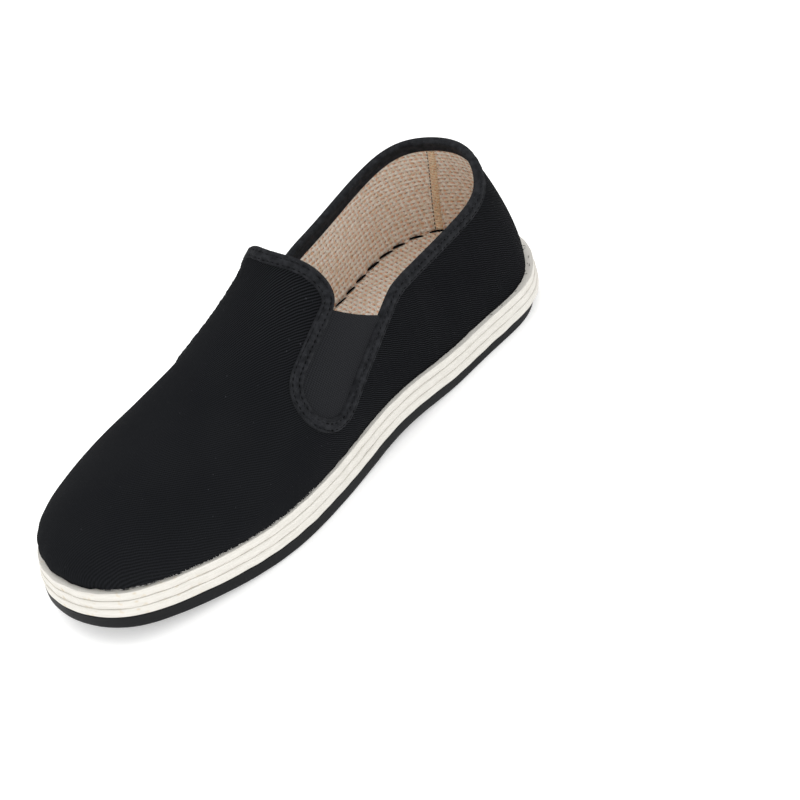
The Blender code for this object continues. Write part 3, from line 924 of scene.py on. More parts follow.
@dataclass(frozen=True)
class WovenLining:
    """Thick woven cotton in cream and rust: cream floats stand up like small pillows in
    staggered rows, with a fleck of rust yarn and a small shaded hole between neighbours; the
    rim colour is painted shade in the boundaries between the pillows."""
    name: str
    pitch: float = 4.4
    row: float = 1.8
    slant: float = math.radians(35.5)
    cream: str = "#FEF9F0"
    rust: str = "#DB9A6A"
    shade: str = "#84614A"
    # rim: painted shade in the boundaries between pillows
    rim: str = "#D2B595"

    def build(self) -> bpy.types.Material:
        """The product of a cosine along the rows and one across them is one at each fleck and
        minus one at each pillow, staggered from row to row; the holes are the same product,
        moved a little down and along the row."""
        made = Finish(self.name, Basis.CLOTH)
        tree = made.tree
        jitter = add(tree, "Math.MULTIPLY", add(tree, "Math.SUBTRACT", add(tree, "TexNoise", made.place, 1.0 / 3.2, 2.0), 0.5), 2.2)
        right = add(tree, "Math.ADD",
                      add(tree, "Math.MULTIPLY", made.across, math.cos(self.slant)),
                      add(tree, "Math.MULTIPLY", made.down, math.sin(self.slant)))
        below = add(tree, "Math.SUBTRACT", add(tree, "Math.MULTIPLY", made.down, math.cos(self.slant)),
                      add(tree, "Math.MULTIPLY", made.across, math.sin(self.slant)))
        below = add(tree, "Math.ADD", below, jitter)
        right = add(tree, "Math.ADD", right, add(tree, "Math.MULTIPLY", below, 0.18))
        right = add(tree, "Math.SUBTRACT", right, jitter)

        def product(slide: float, drop: float) -> bpy.types.NodeSocket:
            """The product of both cosines, moved by shares of the pitch and the row."""
            one = add(tree, "Math.COSINE", add(tree, "Math.MULTIPLY_ADD", right, FULL / self.pitch,
                                              slide * FULL))
            one = add(tree, "Math.MULTIPLY", one, add(tree, "Math.ABSOLUTE", one))
            two = add(tree, "Math.COSINE", add(tree, "Math.MULTIPLY_ADD", below, math.pi / self.row,
                                              drop * math.pi))
            return add(tree, "Math.MULTIPLY", one, two)

        cells = product(0.0, 0.0)
        yarn = add(tree, "TexNoise", add(tree, "VectorMath.MULTIPLY", made.place, (1.0, 2.2, 1.0)), 1.0 / 0.5, 3.0)
        uneven = add(tree, "Math.ADD", cells, add(tree, "Math.MULTIPLY", add(tree, "Math.SUBTRACT", add(tree, "TexNoise", made.place, 1.0 / 1.3, 2.0), 0.5), 2.6))
        fleck = add(tree, "MapRange.SMOOTHSTEP", uneven, 0.10, 0.7)
        hole = add(tree, "MapRange.SMOOTHSTEP", add(tree, "Math.ADD", product(-0.13, 0.30), add(tree, "Math.MULTIPLY", add(tree, "Math.SUBTRACT", add(tree, "TexNoise", made.place, 1.0 / 1.1, 1.0), 0.5), 1.8)),
                         0.55, 1.0)
        # painted shade: the boundaries between pillows are darkened toward the rim colour
        edge = add(tree, "MapRange.SMOOTHSTEP", add(tree, "Math.ABSOLUTE", uneven), 0.30, 0.0)
        cream = add(tree, "Mix.RGBA", add(tree, "MapRange.SMOOTHSTEP", add(tree, "TexNoise", made.place, 1.0 / 2.9, 2.0), 0.45, 0.75), self.cream, "#EEDDC6")
        cream = add(tree, "Mix.RGBA", add(tree, "Math.MULTIPLY", edge, 0.45), cream, self.rim)
        colour = add(tree, "Mix.RGBA", add(tree, "Math.MULTIPLY", fleck, 0.75), cream, self.rust)
        colour = add(tree, "Mix.RGBA", add(tree, "Math.MULTIPLY", hole, 0.65), colour, self.shade)
        swell = add(tree, "MapRange.SMOOTHSTEP", uneven, 0.45, -0.8)
        height = add(tree, "Math.ADD", add(tree, "Math.MULTIPLY", swell, 0.6),
                       add(tree, "Math.MULTIPLY", yarn, 0.30))
        made.set(Roughness=0.95, Specular_IOR_Level=0.1, Sheen_Weight=0.06,
                 Sheen_Roughness=0.5)
        return made.finish(colour, height, 0.8)


@dataclass(frozen=True)
class WhiteCotton:
    """White cotton folded over the board of each layer: soft bright cloth with a faint weave,
    warmer and a little soiled low down at the toe."""
    thread: float = 0.9
    body: str = "#E3E0DA"
    shade: str = "#D0CDC5"
    soil: str = "#C4AF88"

    def build(self) -> bpy.types.Material:
        """The weave is the product of two sines; soil is noise kept to the toe end."""
        made = Finish("White cotton cloth", Basis.CLOTH)
        tree = made.tree
        warp = add(tree, "Math.SINE", add(tree, "Math.MULTIPLY", made.across, FULL / self.thread))
        weft = add(tree, "Math.SINE", add(tree, "Math.MULTIPLY", made.down, FULL / self.thread))
        weave = add(tree, "Math.MULTIPLY", warp, weft)
        fibre = add(tree, "TexNoise", made.place, 1.0 / 0.6, 3.0)
        slub = add(tree, "TexNoise", add(tree, "VectorMath.MULTIPLY", made.place, (0.35, 1.6, 1.0)), 1.0 / 2.2, 2.0)
        height = add(tree, "Math.ADD", add(tree, "Math.MULTIPLY", weave, 0.16),
                       add(tree, "Math.ADD", add(tree, "Math.MULTIPLY", fibre, 0.45),
                             add(tree, "Math.MULTIPLY", slub, 0.6)))
        light = add(tree, "MapRange.SMOOTHSTEP", height, 0.25, 0.85)
        colour = add(tree, "Mix.RGBA", light, self.shade, self.body)
        spot = add(tree, "MapRange.SMOOTHSTEP", add(tree, "TexNoise", made.place, 1.0 / 3.5, 3.0), 0.57, 0.75)
        toe = add(tree, "MapRange.SMOOTHSTEP", made.length, 222.5, 267.5)
        soiled = add(tree, "Math.MULTIPLY", spot, add(tree, "Math.MULTIPLY", toe, 0.7))
        colour = add(tree, "Mix.RGBA", soiled, colour, self.soil)
        made.set(Roughness=0.94, Specular_IOR_Level=0.15, Sheen_Weight=0.1, Sheen_Roughness=0.5)
        return made.finish(colour, height, 0.13)


@dataclass(frozen=True)
class BlackRubber:
    """Black moulded rubber: dull, finely grained, with faint scuffs and pale dust."""
    name: str = "Black moulded rubber"
    body: str = "#141517"
    scuff: str = "#222325"

    def build(self) -> bpy.types.Material:
        """Grain is fine noise, and scuffs are drawn-out noise along the sole's edge."""
        made = Finish(self.name, Basis.OBJECT)
        tree = made.tree
        grain = add(tree, "TexNoise", made.place, 1.0 / 0.35, 3.0)
        scuffs = add(tree, "MapRange.SMOOTHSTEP", add(tree, "TexNoise", add(tree, "VectorMath.MULTIPLY", made.place, (0.5, 0.5, 2.5)), 1.0 / 3.0, 3.0), 0.55, 0.8)
        cloud = add(tree, "MapRange.SMOOTHSTEP", add(tree, "TexNoise", made.place, 1.0 / 22.0, 2.0), 0.35, 0.7)
        colour = add(tree, "Mix.RGBA", add(tree, "Math.MULTIPLY", scuffs, 0.35), self.body, self.scuff)
        colour = add(tree, "Mix.RGBA", add(tree, "Math.MULTIPLY", cloud, 0.3), colour, "#111213")
        rough = add(tree, "MapRange.SMOOTHSTEP", scuffs, 0.0, 1.0, 0.56, 0.78)
        made.set(Specular_IOR_Level=0.14, IOR=1.52)
        return made.finish(colour, grain, 0.05, rough)


@dataclass(frozen=True)
class Thread:
    """Twisted cotton sewing thread: a fine spiral of two plies and a soft sheen."""
    name: str
    body: str
    shade: str
    rough: float = 0.75

    def build(self) -> bpy.types.Material:
        """Plies show as fine noise at the thread's own scale."""
        made = Finish(self.name, Basis.OBJECT)
        tree = made.tree
        ply = add(tree, "TexNoise", made.place, 1.0 / 0.25, 2.0)
        colour = add(tree, "Mix.RGBA", add(tree, "MapRange.SMOOTHSTEP", ply, 0.35, 0.65), self.shade, self.body)
        made.set(Roughness=self.rough, Specular_IOR_Level=0.05)
        return made.finish(colour, ply, 0.06)


@dataclass(frozen=True)
class Finishes:
    """Every material of the shoe, built once."""
    twill: bpy.types.Material
    tape: bpy.types.Material
    elastic: bpy.types.Material
    lining: bpy.types.Material
    insole: bpy.types.Material
    seam: bpy.types.Material
    white: bpy.types.Material
    rubber: bpy.types.Material
    black_thread: bpy.types.Material
    grey_thread: bpy.types.Material
    white_fibre: bpy.types.Material


def build_finishes() -> Finishes:
    """Builds every material."""
    return Finishes(
        twill=TwillCotton().build(),
        tape=TapeCotton().build(),
        elastic=RibElastic().build(),
        # each lining's rim colour is painted shade between its pillows
        lining=WovenLining("Woven cream and rust lining").build(),
        insole=WovenLining("Woven cream and rust insole", pitch=4.2,
                           slant=math.radians(116.0), rust="#E2A070").build(),
        seam=WovenLining("Woven cream and rust seam", pitch=2.6, row=1.3,
                         slant=math.radians(62.0), cream="#FAE6C8", rust="#DE9F6C",
                         shade="#B08560", rim="#E3BE92").build(),
        white=WhiteCotton().build(),
        rubber=BlackRubber().build(),
        black_thread=Thread("Black cotton thread", "#0F1011", "#050506").build(),
        grey_thread=Thread("Grey cotton fibre", "#6D6C69", "#4B4B4A").build(),
        white_fibre=Thread("White cotton fibre", "#F4F2EE", "#DDDAD4", 0.9).build(),
    )


def dress(piece: bpy.types.Object, slot: str, *nodes: str) -> bpy.types.Object:
    """Makes a piece ride on the shoe's one body and hides the CAD nodes that it replaces.

    Args:
        piece: the new object.
        slot: the record's material slot; not used.
        nodes: CAD nodes that it replaces.

    Returns:
        The same object.
    """
    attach(piece, "root")
    if nodes:
        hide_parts(*nodes)
    LOG.info("%s: %d faces", piece.name, len(piece.data.polygons))
    return piece


@dataclass
class Upper:
    """The black cloth, its lining and the heel seam inside it."""
    last: Last
    opening: Opening
    finishes: Finishes
    columns: int = 620
    rows: int = 84
    cloth_thick: float = 1.0
    lining_depth: float = 1.15
    lining_thick: float = 0.8
    edge_hold: float = 1.3
    seat_scallop: float = 0.3
    scallop_length: float = 4.2
    seam_width: float = 3.3
    seam_height: float = 1.1
    seam_turn: float = 0.395
    seam_lean: float = 0.42
    seam_top: float = 0.61
    seam_stitch: float = 2.2
    seam_side: float = -1.0
    grain_height: float = 25.0

    def place(self, columns: int, rows: int) -> tuple[np.ndarray, np.ndarray, np.ndarray]:
        """Turns and rises of a grid, and the vertex numbers with the ridge's shared.

        Args:
            columns: points round the last.
            rows: points from the seat to the ridge.

        Returns:
            Turns, rises and vertex numbers.
        """
        turn = np.linspace(0.0, FULL, columns, endpoint=False)[:, None]
        rise = QUARTER * np.linspace(0.0, 1.0, rows)
        index = np.arange(columns * rows).reshape(columns, rows)
        far = np.arange(columns // 2 + 1, columns)
        index[far, -1] = index[columns - far, -1]
        return turn, rise[None, :], index

    def flat(self, points: np.ndarray) -> np.ndarray:
        """The cloth laid flat: on the vamp the length stays and the girth is unrolled from the
        ridge; on the quarters the cloth is a straight strip along the sole. They meet at one
        height under the gore and blend across its slot.

        Args:
            points: the cloth's grid, columns by rows by three.

        Returns:
            Flat coordinates in millimetres.
        """
        turn = np.linspace(0.0, FULL, points.shape[0], endpoint=False)
        folded = np.where(turn <= math.pi, turn, FULL - turn)
        side = np.where(turn <= math.pi, 1.0, -1.0)
        steps = np.linalg.norm(np.diff(points, axis=1), axis=-1)
        up = np.concatenate((np.zeros((len(turn), 1)), np.cumsum(steps, 1)), 1)
        down = up[:, -1:] - up
        way = unit(points[:, 0, :2] - points[:, -1, :2])
        vamp_u = points[..., 0]
        vamp_v = down * way[:, None, 1]
        half = points.shape[0] // 2
        walked = along(points[:half + 1, 0])
        walked = np.concatenate((walked, walked[half - 1:0:-1]))
        joint = int(np.searchsorted(folded[:half], 1.62))
        level = int(np.searchsorted(up[joint], self.grain_height))
        strip_u = walked[:, None] + 0.0 * down
        strip_v = -side[:, None] * up
        for some, column in ((side > 0.0, joint), (side < 0.0, -joint)):
            strip_u[some] += vamp_u[column, level] - strip_u[column, level]
            strip_v[some] += vamp_v[column, level] - strip_v[column, level]
        foot, _, forward = self.opening.gore_frame()
        ahead = (points[..., (0, 2)] - foot) @ forward
        blend = np.clip(0.5 - ahead / self.opening.gore_width, 0.0, 1.0)
        blend = blend * blend * (3.0 - 2.0 * blend)
        return np.stack((vamp_u + (strip_u - vamp_u) * blend,
                         vamp_v + (strip_v - vamp_v) * blend), -1)

    def relief(self, turn: np.ndarray, rise: np.ndarray, points: np.ndarray) -> np.ndarray:
        """Soft unevenness of the worn-in cloth in millimetres: broad hollows, two shallow
        troughs across the vamp where it bends, and small gathers low round the toe.

        Args:
            turn: turns of the grid.
            rise: rises of the grid.
            points: the skin's points.

        Returns:
            Heights over the skin.
        """
        x = points[..., 0]
        folded = np.where(turn <= math.pi, turn, FULL - turn)
        away = np.sin(2.0 * rise) ** 2
        broad = 0.28 * np.sin(x / 17.0 + 1.3 * np.sin(points[..., 1] / 14.0)) * away
        broad = broad + 0.18 * np.sin(x / 9.0 - points[..., 2] / 11.0 + 2.0) * away
        troughs = 0.0 * x
        for centre, depth, width, lean in ((176.0, 0.45, 6.0, 0.10), (194.0, 0.35, 7.0, -0.06)):
            off = (x - centre - lean * points[..., 1]) / width
            troughs = troughs - depth * np.exp(-off * off) * np.sin(rise) ** 2
        toe = np.clip((folded - 2.1) / 0.6, 0.0, 1.0)
        gathers = 0.16 * np.sin(folded * 46.0 + 2.0 * np.sin(folded * 9.0)) * toe
        gathers = gathers * np.exp(-((rise / 0.34) ** 2))
        return broad + troughs + gathers

    def cloth(self) -> bpy.types.Object:
        """The black cloth: the last's skin with its relief, cut away above the opening's edge
        under the tape; its lower edge is slightly scalloped by the seat's stitches."""
        turn, rise, index = self.place(self.columns, self.rows)
        points = self.last.skin(turn, rise)
        normals = self.last.normal(turn + 0.0 * rise, rise + 0.0 * turn)
        points = points + normals * self.relief(turn, rise, points)[..., None]
        walked = along(points[:, 0])
        scallop = self.seat_scallop * np.abs(np.sin(math.pi * walked / self.scallop_length))
        scallop = scallop + 0.22 * waves(walked, walked[-1], 90, 3)
        near = np.exp(-((rise / 0.09) ** 2))
        points[..., 2] += scallop[:, None] * near - 0.35 * near
        flat = self.flat(points)
        draft = Draft()
        closed = np.concatenate((points, points[:1]), 0)
        middles = 0.25 * (closed[:-1, :-1] + closed[1:, :-1] + closed[:-1, 1:] + closed[1:, 1:])
        outline = self.opening.mask_outline(self.edge_hold)
        keep = ~inside(middles[..., (0, 2)].reshape(-1, 2), outline)
        draft.grid(points, flat, wrap_rows=True, keep=keep.reshape(middles.shape[:2]), index=index)
        piece = draft.make("upper_cloth", self.finishes.twill, self.last, flip=True)
        wall = piece.modifiers.new("Cloth thickness", "SOLIDIFY")
        wall.thickness = self.cloth_thick * MM
        wall.offset = -1.0
        return dress(piece, "black_cotton", "upper")

    def lining(self) -> bpy.types.Object:
        """The woven lining inside the cloth, with a flat raised seam up the heel."""
        columns, rows = 460, 56
        turn, rise, index = self.place(columns, rows)
        depth = self.lining_depth
        points = self.last.skin(turn, rise, depth)
        walked = along(self.last.skin(turn[:columns // 2 + 1, 0], np.zeros(1), depth))
        reach = np.concatenate((walked, walked[columns // 2 - 1:0:-1]))
        steps = np.linalg.norm(np.diff(points, axis=1), axis=-1)
        up = np.concatenate((np.zeros((columns, 1)), np.cumsum(steps, 1)), 1)
        flat = np.stack((np.broadcast_to(-reach[:, None], up.shape), -up), -1)
        closed = np.concatenate((points, points[:1]), 0)
        middles = 0.25 * (closed[:-1, :-1] + closed[1:, :-1] + closed[:-1, 1:] + closed[1:, 1:])
        keep = ~inside(middles[..., (0, 2)].reshape(-1, 2), self.opening.mask_outline(1.6))
        draft = Draft()
        draft.grid(points, flat, wrap_rows=True, keep=keep.reshape(middles.shape[:2]), index=index)
        piece = draft.make("lining", self.finishes.lining, self.last, flip=True)
        wall = piece.modifiers.new("Lining thickness", "SOLIDIFY")
        wall.thickness = self.lining_thick * MM
        wall.offset = -1.0
        return dress(piece, "woven_lining")

    def seam_line(self, lift: float, slide: float = 0.0) -> np.ndarray:
        """The heel seam's line on the lining: it starts past the heel's middle on the inner
        side and leans to the middle as it climbs, by a square of the rise.

        Args:
            lift: height over the lining's face.
            slide: distance to the seam's side.

        Returns:
            Points from the insole to the tape.
        """
        rises = np.linspace(0.02, self.seam_top, 70)
        turns = FULL - (self.seam_turn - self.seam_lean * rises ** 2)
        line = self.last.skin(turns, rises, self.last.wall)
        inward = -self.last.normal(turns, rises, self.last.wall)
        aside = unit(np.cross(np.gradient(line, axis=0), inward))
        return line + inward * lift + aside * slide

    def heel_seam(self) -> bpy.types.Object:
        """The lining's back seam: a low rounded band up the inside of the heel."""
        angle = np.linspace(0.0, math.pi, 11)
        side = np.cos(angle) * 0.5 * self.seam_width
        lift = np.sin(angle) ** 0.7 * self.seam_height - 0.3
        lines = [self.seam_line(float(up), float(out)) for up, out in zip(lift, side)]
        points = np.stack(lines, 1)
        walked = along(points[:, 5])
        points = points + 0.10 * waves(walked, 60.0, 9, 5)[:, None, None]
        flat = np.stack(np.broadcast_arrays(side[None, :], -walked[:, None]), -1)
        draft = Draft()
        draft.grid(points, flat)
        piece = draft.make("heel_seam", self.finishes.seam, self.last)
        wall = piece.modifiers.new("Seam thickness", "SOLIDIFY")
        wall.thickness = 0.25 * MM
        wall.offset = -1.0
        return dress(piece, "woven_lining")

    def seam_stitches(self) -> bpy.types.Object:
        """Fine dark stitches beside the heel seam, each dipping in at both ends."""
        line = self.seam_line(0.12, self.seam_side * (0.5 * self.seam_width + 0.25))
        walked = along(line)
        count = int(walked[-1] / self.seam_stitch)
        shares = np.linspace(0.0, 1.0, 5)
        at = (np.arange(count)[:, None] + 0.66 * shares) * self.seam_stitch
        paths = np.stack([np.interp(at, walked, line[:, axis]) for axis in range(3)], -1)
        draft = Draft()
        add_tubes(draft, paths, (0.20 * (0.5 + 0.5 * np.sin(math.pi * shares)))[None, :], 6)
        return dress(draft.make("heel_seam_stitches", self.finishes.black_thread, self.last),
                     "black_cotton")

    def build(self) -> None:
        """Builds every piece of the upper."""
        self.cloth()
        self.lining()
        self.heel_seam()
        self.seam_stitches()


@dataclass
class Binding:
    """The cotton tape folded over the opening's edge, with two rows of stitches."""
    last: Last
    opening: Opening
    finishes: Finishes
    inner_width: float = 6.0
    tape_thick: float = 0.55
    crown: float = 0.45
    stitch_length: float = 2.3
    rows: tuple[float, ...] = (1.0, 3.55)

    def profile(self) -> np.ndarray:
        """The folded tape's section: distance into the cloth and height over the skin, down
        the outer face from its edge, round the fold and up the inner face."""
        width = self.opening.tape_width
        wall = self.last.wall
        outer_at = np.linspace(width, 0.25, 15)
        dips = sum(np.exp(-((outer_at - row) / 0.42) ** 2) for row in self.rows)
        shoulder = np.clip((width - outer_at) / 0.5, 0.0, 1.0) ** 0.5
        outer = self.tape_thick * shoulder + self.crown * (1.0 - dips) * shoulder
        angle = np.linspace(0.5 * math.pi, -0.5 * math.pi, 9)
        radius = 0.5 * wall + self.tape_thick + 0.12
        fold = np.stack((0.2 - radius * 0.75 * np.cos(angle),
                         -0.5 * wall + radius * np.sin(angle)), -1)
        inner_at = np.linspace(0.3, self.inner_width, 10)
        rest = np.clip((self.inner_width - inner_at) / 0.5, 0.0, 1.0) ** 0.5
        inner = -wall - self.tape_thick * rest - 0.15 * np.sin(inner_at * 1.4) * rest
        return np.concatenate((np.stack((outer_at, outer), -1), fold,
                               np.stack((inner_at, inner), -1)))

    def sweep(self, section: np.ndarray) -> tuple[np.ndarray, np.ndarray]:
        """Carries section points round the whole edge.

        Args:
            section: distances into the cloth and heights over the skin.

        Returns:
            Points, edge by section by three, and the distance walked along the edge.
        """
        turn, rise = self.opening.ring(0.0)
        edge = self.last.skin(turn, rise)
        normal = self.last.normal(turn, rise)
        tangent = unit(np.roll(edge, -1, 0) - np.roll(edge, 1, 0))
        inward = unit(np.cross(tangent, normal)) * -1.0
        lines = []
        for distance, height in section:
            if distance > 0.3:
                here = self.opening.ring(distance)
                base = self.last.skin(*here)
                out = self.last.normal(*here)
            else:
                base = edge + inward * distance
                out = normal
            lines.append(base + out * height)
        return np.stack(lines, 1), along(edge)

    def band(self) -> bpy.types.Object:
        """The tape itself: the section swept round the edge, drawn down between stitches."""
        section = self.profile()
        points, walked = self.sweep(section)
        length = walked[-1]
        turn, rise = self.opening.ring(0.0)
        normal = self.last.normal(turn, rise)
        pucker = np.cos(FULL * walked / self.stitch_length)
        distance = section[:, 0]
        on_top = (section[:, 1] > -0.2) & (distance > 0.25)
        near = sum(np.exp(-((distance - row) / 0.8) ** 2) for row in self.rows) * on_top
        lift = -0.14 * pucker[:, None] * near[None, :]
        lift = lift + 0.09 * waves(walked, length, 120, 7)[:, None] * on_top[None, :]
        points = points + normal[:, None, :] * lift[..., None]
        across = np.concatenate(([0.0], np.cumsum(np.linalg.norm(np.diff(section, axis=0),
                                                                 axis=1))))
        flat = np.stack(np.broadcast_arrays(walked[:, None], across[None, :]), -1)
        draft = Draft()
        draft.grid(points, flat, wrap_rows=True, wrap_columns=True)
        return dress(draft.make("binding_tape", self.finishes.tape, self.last), "black_tape",
                     "binding")

    def stitches(self) -> bpy.types.Object:
        """Two rows of machine stitches: short threads that dive into the tape at both ends."""
        draft = Draft()
        for number, row in enumerate(self.rows):
            turn, rise = self.opening.ring(row)
            line = self.last.skin(turn, rise)
            normal = self.last.normal(turn, rise)
            walked = along(line)
            count = int(walked[-1] / self.stitch_length)
            starts = np.arange(count) * self.stitch_length + 0.4 * number
            shares = np.linspace(0.0, 1.0, 5)
            at = starts[:, None] + shares[None, :] * self.stitch_length * 0.62
            height = self.tape_thick - 0.10 + 0.14 * np.sin(math.pi * shares)
            paths = np.stack([np.interp(at, walked, line[:, axis])
                              + np.interp(at, walked, normal[:, axis]) * height[None, :]
                              for axis in range(3)], -1)
            thin = 0.23 * (0.55 + 0.45 * np.sin(math.pi * shares))
            add_tubes(draft, paths, thin[None, :], 6)
        return dress(draft.make("tape_stitches", self.finishes.black_thread, self.last),
                     "black_tape")

    def build(self) -> None:
        """Builds the tape and its stitches."""
        self.band()
        self.stitches()


@dataclass
class Gore:
    """One elastic web set into the slot beside the throat."""
    last: Last
    opening: Opening
    finishes: Finishes
    right_side: bool
    overlap: float = 2.4
    depth: float = 0.55
    thick: float = 1.0
    hem: float = 4.0
    sag: float = 0.9

    def build(self) -> None:
        """The web is a grid of places across and along the slot, found on the last's skin; its
        foot narrows as a half round, its middle lies a little hollow, and its upper end is
        turned in as a hem with a slightly hollow edge."""
        foot, upward, forward = self.opening.gore_frame()
        radius = 0.5 * self.opening.gore_width + self.overlap
        top = self.opening.gore_length - 0.5 * self.opening.gore_width
        top = top - self.opening.gore_top_drop
        across = np.linspace(-1.0, 1.0, 73)[:, None]
        share = np.linspace(0.0, 1.0, 110)[None, :]
        low = -radius * 0.985
        tilt = across * radius * math.tan(self.opening.gore_top_tilt)
        edge = top - tilt - self.sag * (1.0 - across ** 2)
        climb = low + (edge - low) * share
        half = np.sqrt(np.clip(radius ** 2 - np.minimum(climb, 0.0) ** 2, 4.0, None))
        spot = (foot + (across * half)[..., None] * forward + climb[..., None] * upward)
        turn, rise = self.last.find(spot[..., 0], spot[..., 1], self.right_side)
        base = self.last.skin(turn, rise)
        normal = self.last.normal(turn, rise)
        hollow = 0.55 * (1.0 - across ** 2) * np.sin(math.pi * np.clip(share, 0.0, 1.0))
        from_top = (edge - climb) / self.hem
        hem = 0.32 * (1.0 / (1.0 + np.exp((from_top - 1.0) * 14.0)))
        roll = -0.5 * np.exp(-(from_top * self.hem / 0.7) ** 2)
        height = -self.depth - hollow + hem + roll
        outer = base + normal * height[..., None]
        inner = base - normal * (self.depth + self.thick + hollow - hem + roll)[..., None]
        sheet = np.concatenate((outer, inner[:, ::-1]), 1)
        width = across * half
        flat = np.stack(np.broadcast_arrays(width, climb), -1)
        flat = np.concatenate((flat, flat[:, ::-1]), 1)
        draft = Draft()
        draft.grid(sheet, flat, wrap_columns=True)
        for end in (0, -1):
            rim = np.stack((sheet[end, :110], sheet[end, :109:-1]), 0)
            draft.grid(rim if end == 0 else rim[::-1])
        name = "gore_inner" if self.right_side else "gore_outer"
        piece = draft.make(f"{name}_web", self.finishes.elastic, self.last,
                           flip=self.right_side)
        dress(piece, "black_elastic", name)


@dataclass
class SoleRing:
    """A plate that follows the outsole's bend: rings of the outline from a rim profile,
    closed above and below by rings drawn to the middle line."""
    last: Last
    steps: int = 520

    def rings(self, insets: np.ndarray, heights: np.ndarray, base: float, tuck: float = 0.0,
              rough: float = 0.0, seed: int = 0) -> tuple[np.ndarray, np.ndarray, np.ndarray]:
        """Points of the plate.

        Args:
            insets: distance inwards of each ring of the rim, bottom to top.
            heights: height of each ring over the plate's bottom.
            base: height of the plate's bottom over the outsole's bottom.
            tuck: how much further the heel's end is drawn in.
            rough: size of the rim's unevenness.
            seed: seed of the unevenness.

        Returns:
            Points, rings by steps by three; flat coordinates; vertex numbers.
        """
        turn = np.linspace(0.0, FULL, self.steps, endpoint=False)
        girth = along(self.last.outline(turn, 0.0 * turn))
        length = girth[-1]
        uneven = rough * waves(girth, length, 70, seed)
        wave = rough * 0.6 * waves(girth, length, 46, seed + 1)
        rows = []
        for inset, height in zip(insets, heights):
            held = math.exp(-max(inset - 1.0, 0.0) / 2.0)
            flat = self.last.outline(turn, inset - uneven * held, tuck)
            z = self.last.floor_rise(flat[:, 0]) + base + height + wave * held
            rows.append(np.concatenate((flat, z[:, None]), 1))
        rim = np.stack(rows)
        shares = np.array((0.80, 0.55, 0.28, 0.0))[:, None]
        caps = []
        for ring in (rim[0], rim[-1]):
            cap = np.repeat(ring[None], 4, 0)
            cap[..., 1] = ring[None, :, 1] * shares
            caps.append(cap)
        points = np.concatenate((caps[0][::-1], rim, caps[1]))
        across = np.concatenate(([0.0], np.cumsum(np.linalg.norm(
            np.diff(np.stack((insets, heights), 1), axis=0), axis=1))))
        down = np.concatenate((np.full(4, across[0]), across, np.full(4, across[-1])))
        flat = np.stack(np.broadcast_arrays(girth[None, :], down[:, None]), -1).copy()
        capped = np.concatenate((np.arange(4), np.arange(len(points) - 4, len(points))))
        flat[capped] = points[capped][..., :2]
        index = np.arange(points.shape[0] * self.steps).reshape(points.shape[:2])
        far = np.arange(self.steps // 2 + 1, self.steps)
        for row in (0, -1):
            index[row, far] = index[row, self.steps - far]
        return points, flat, index


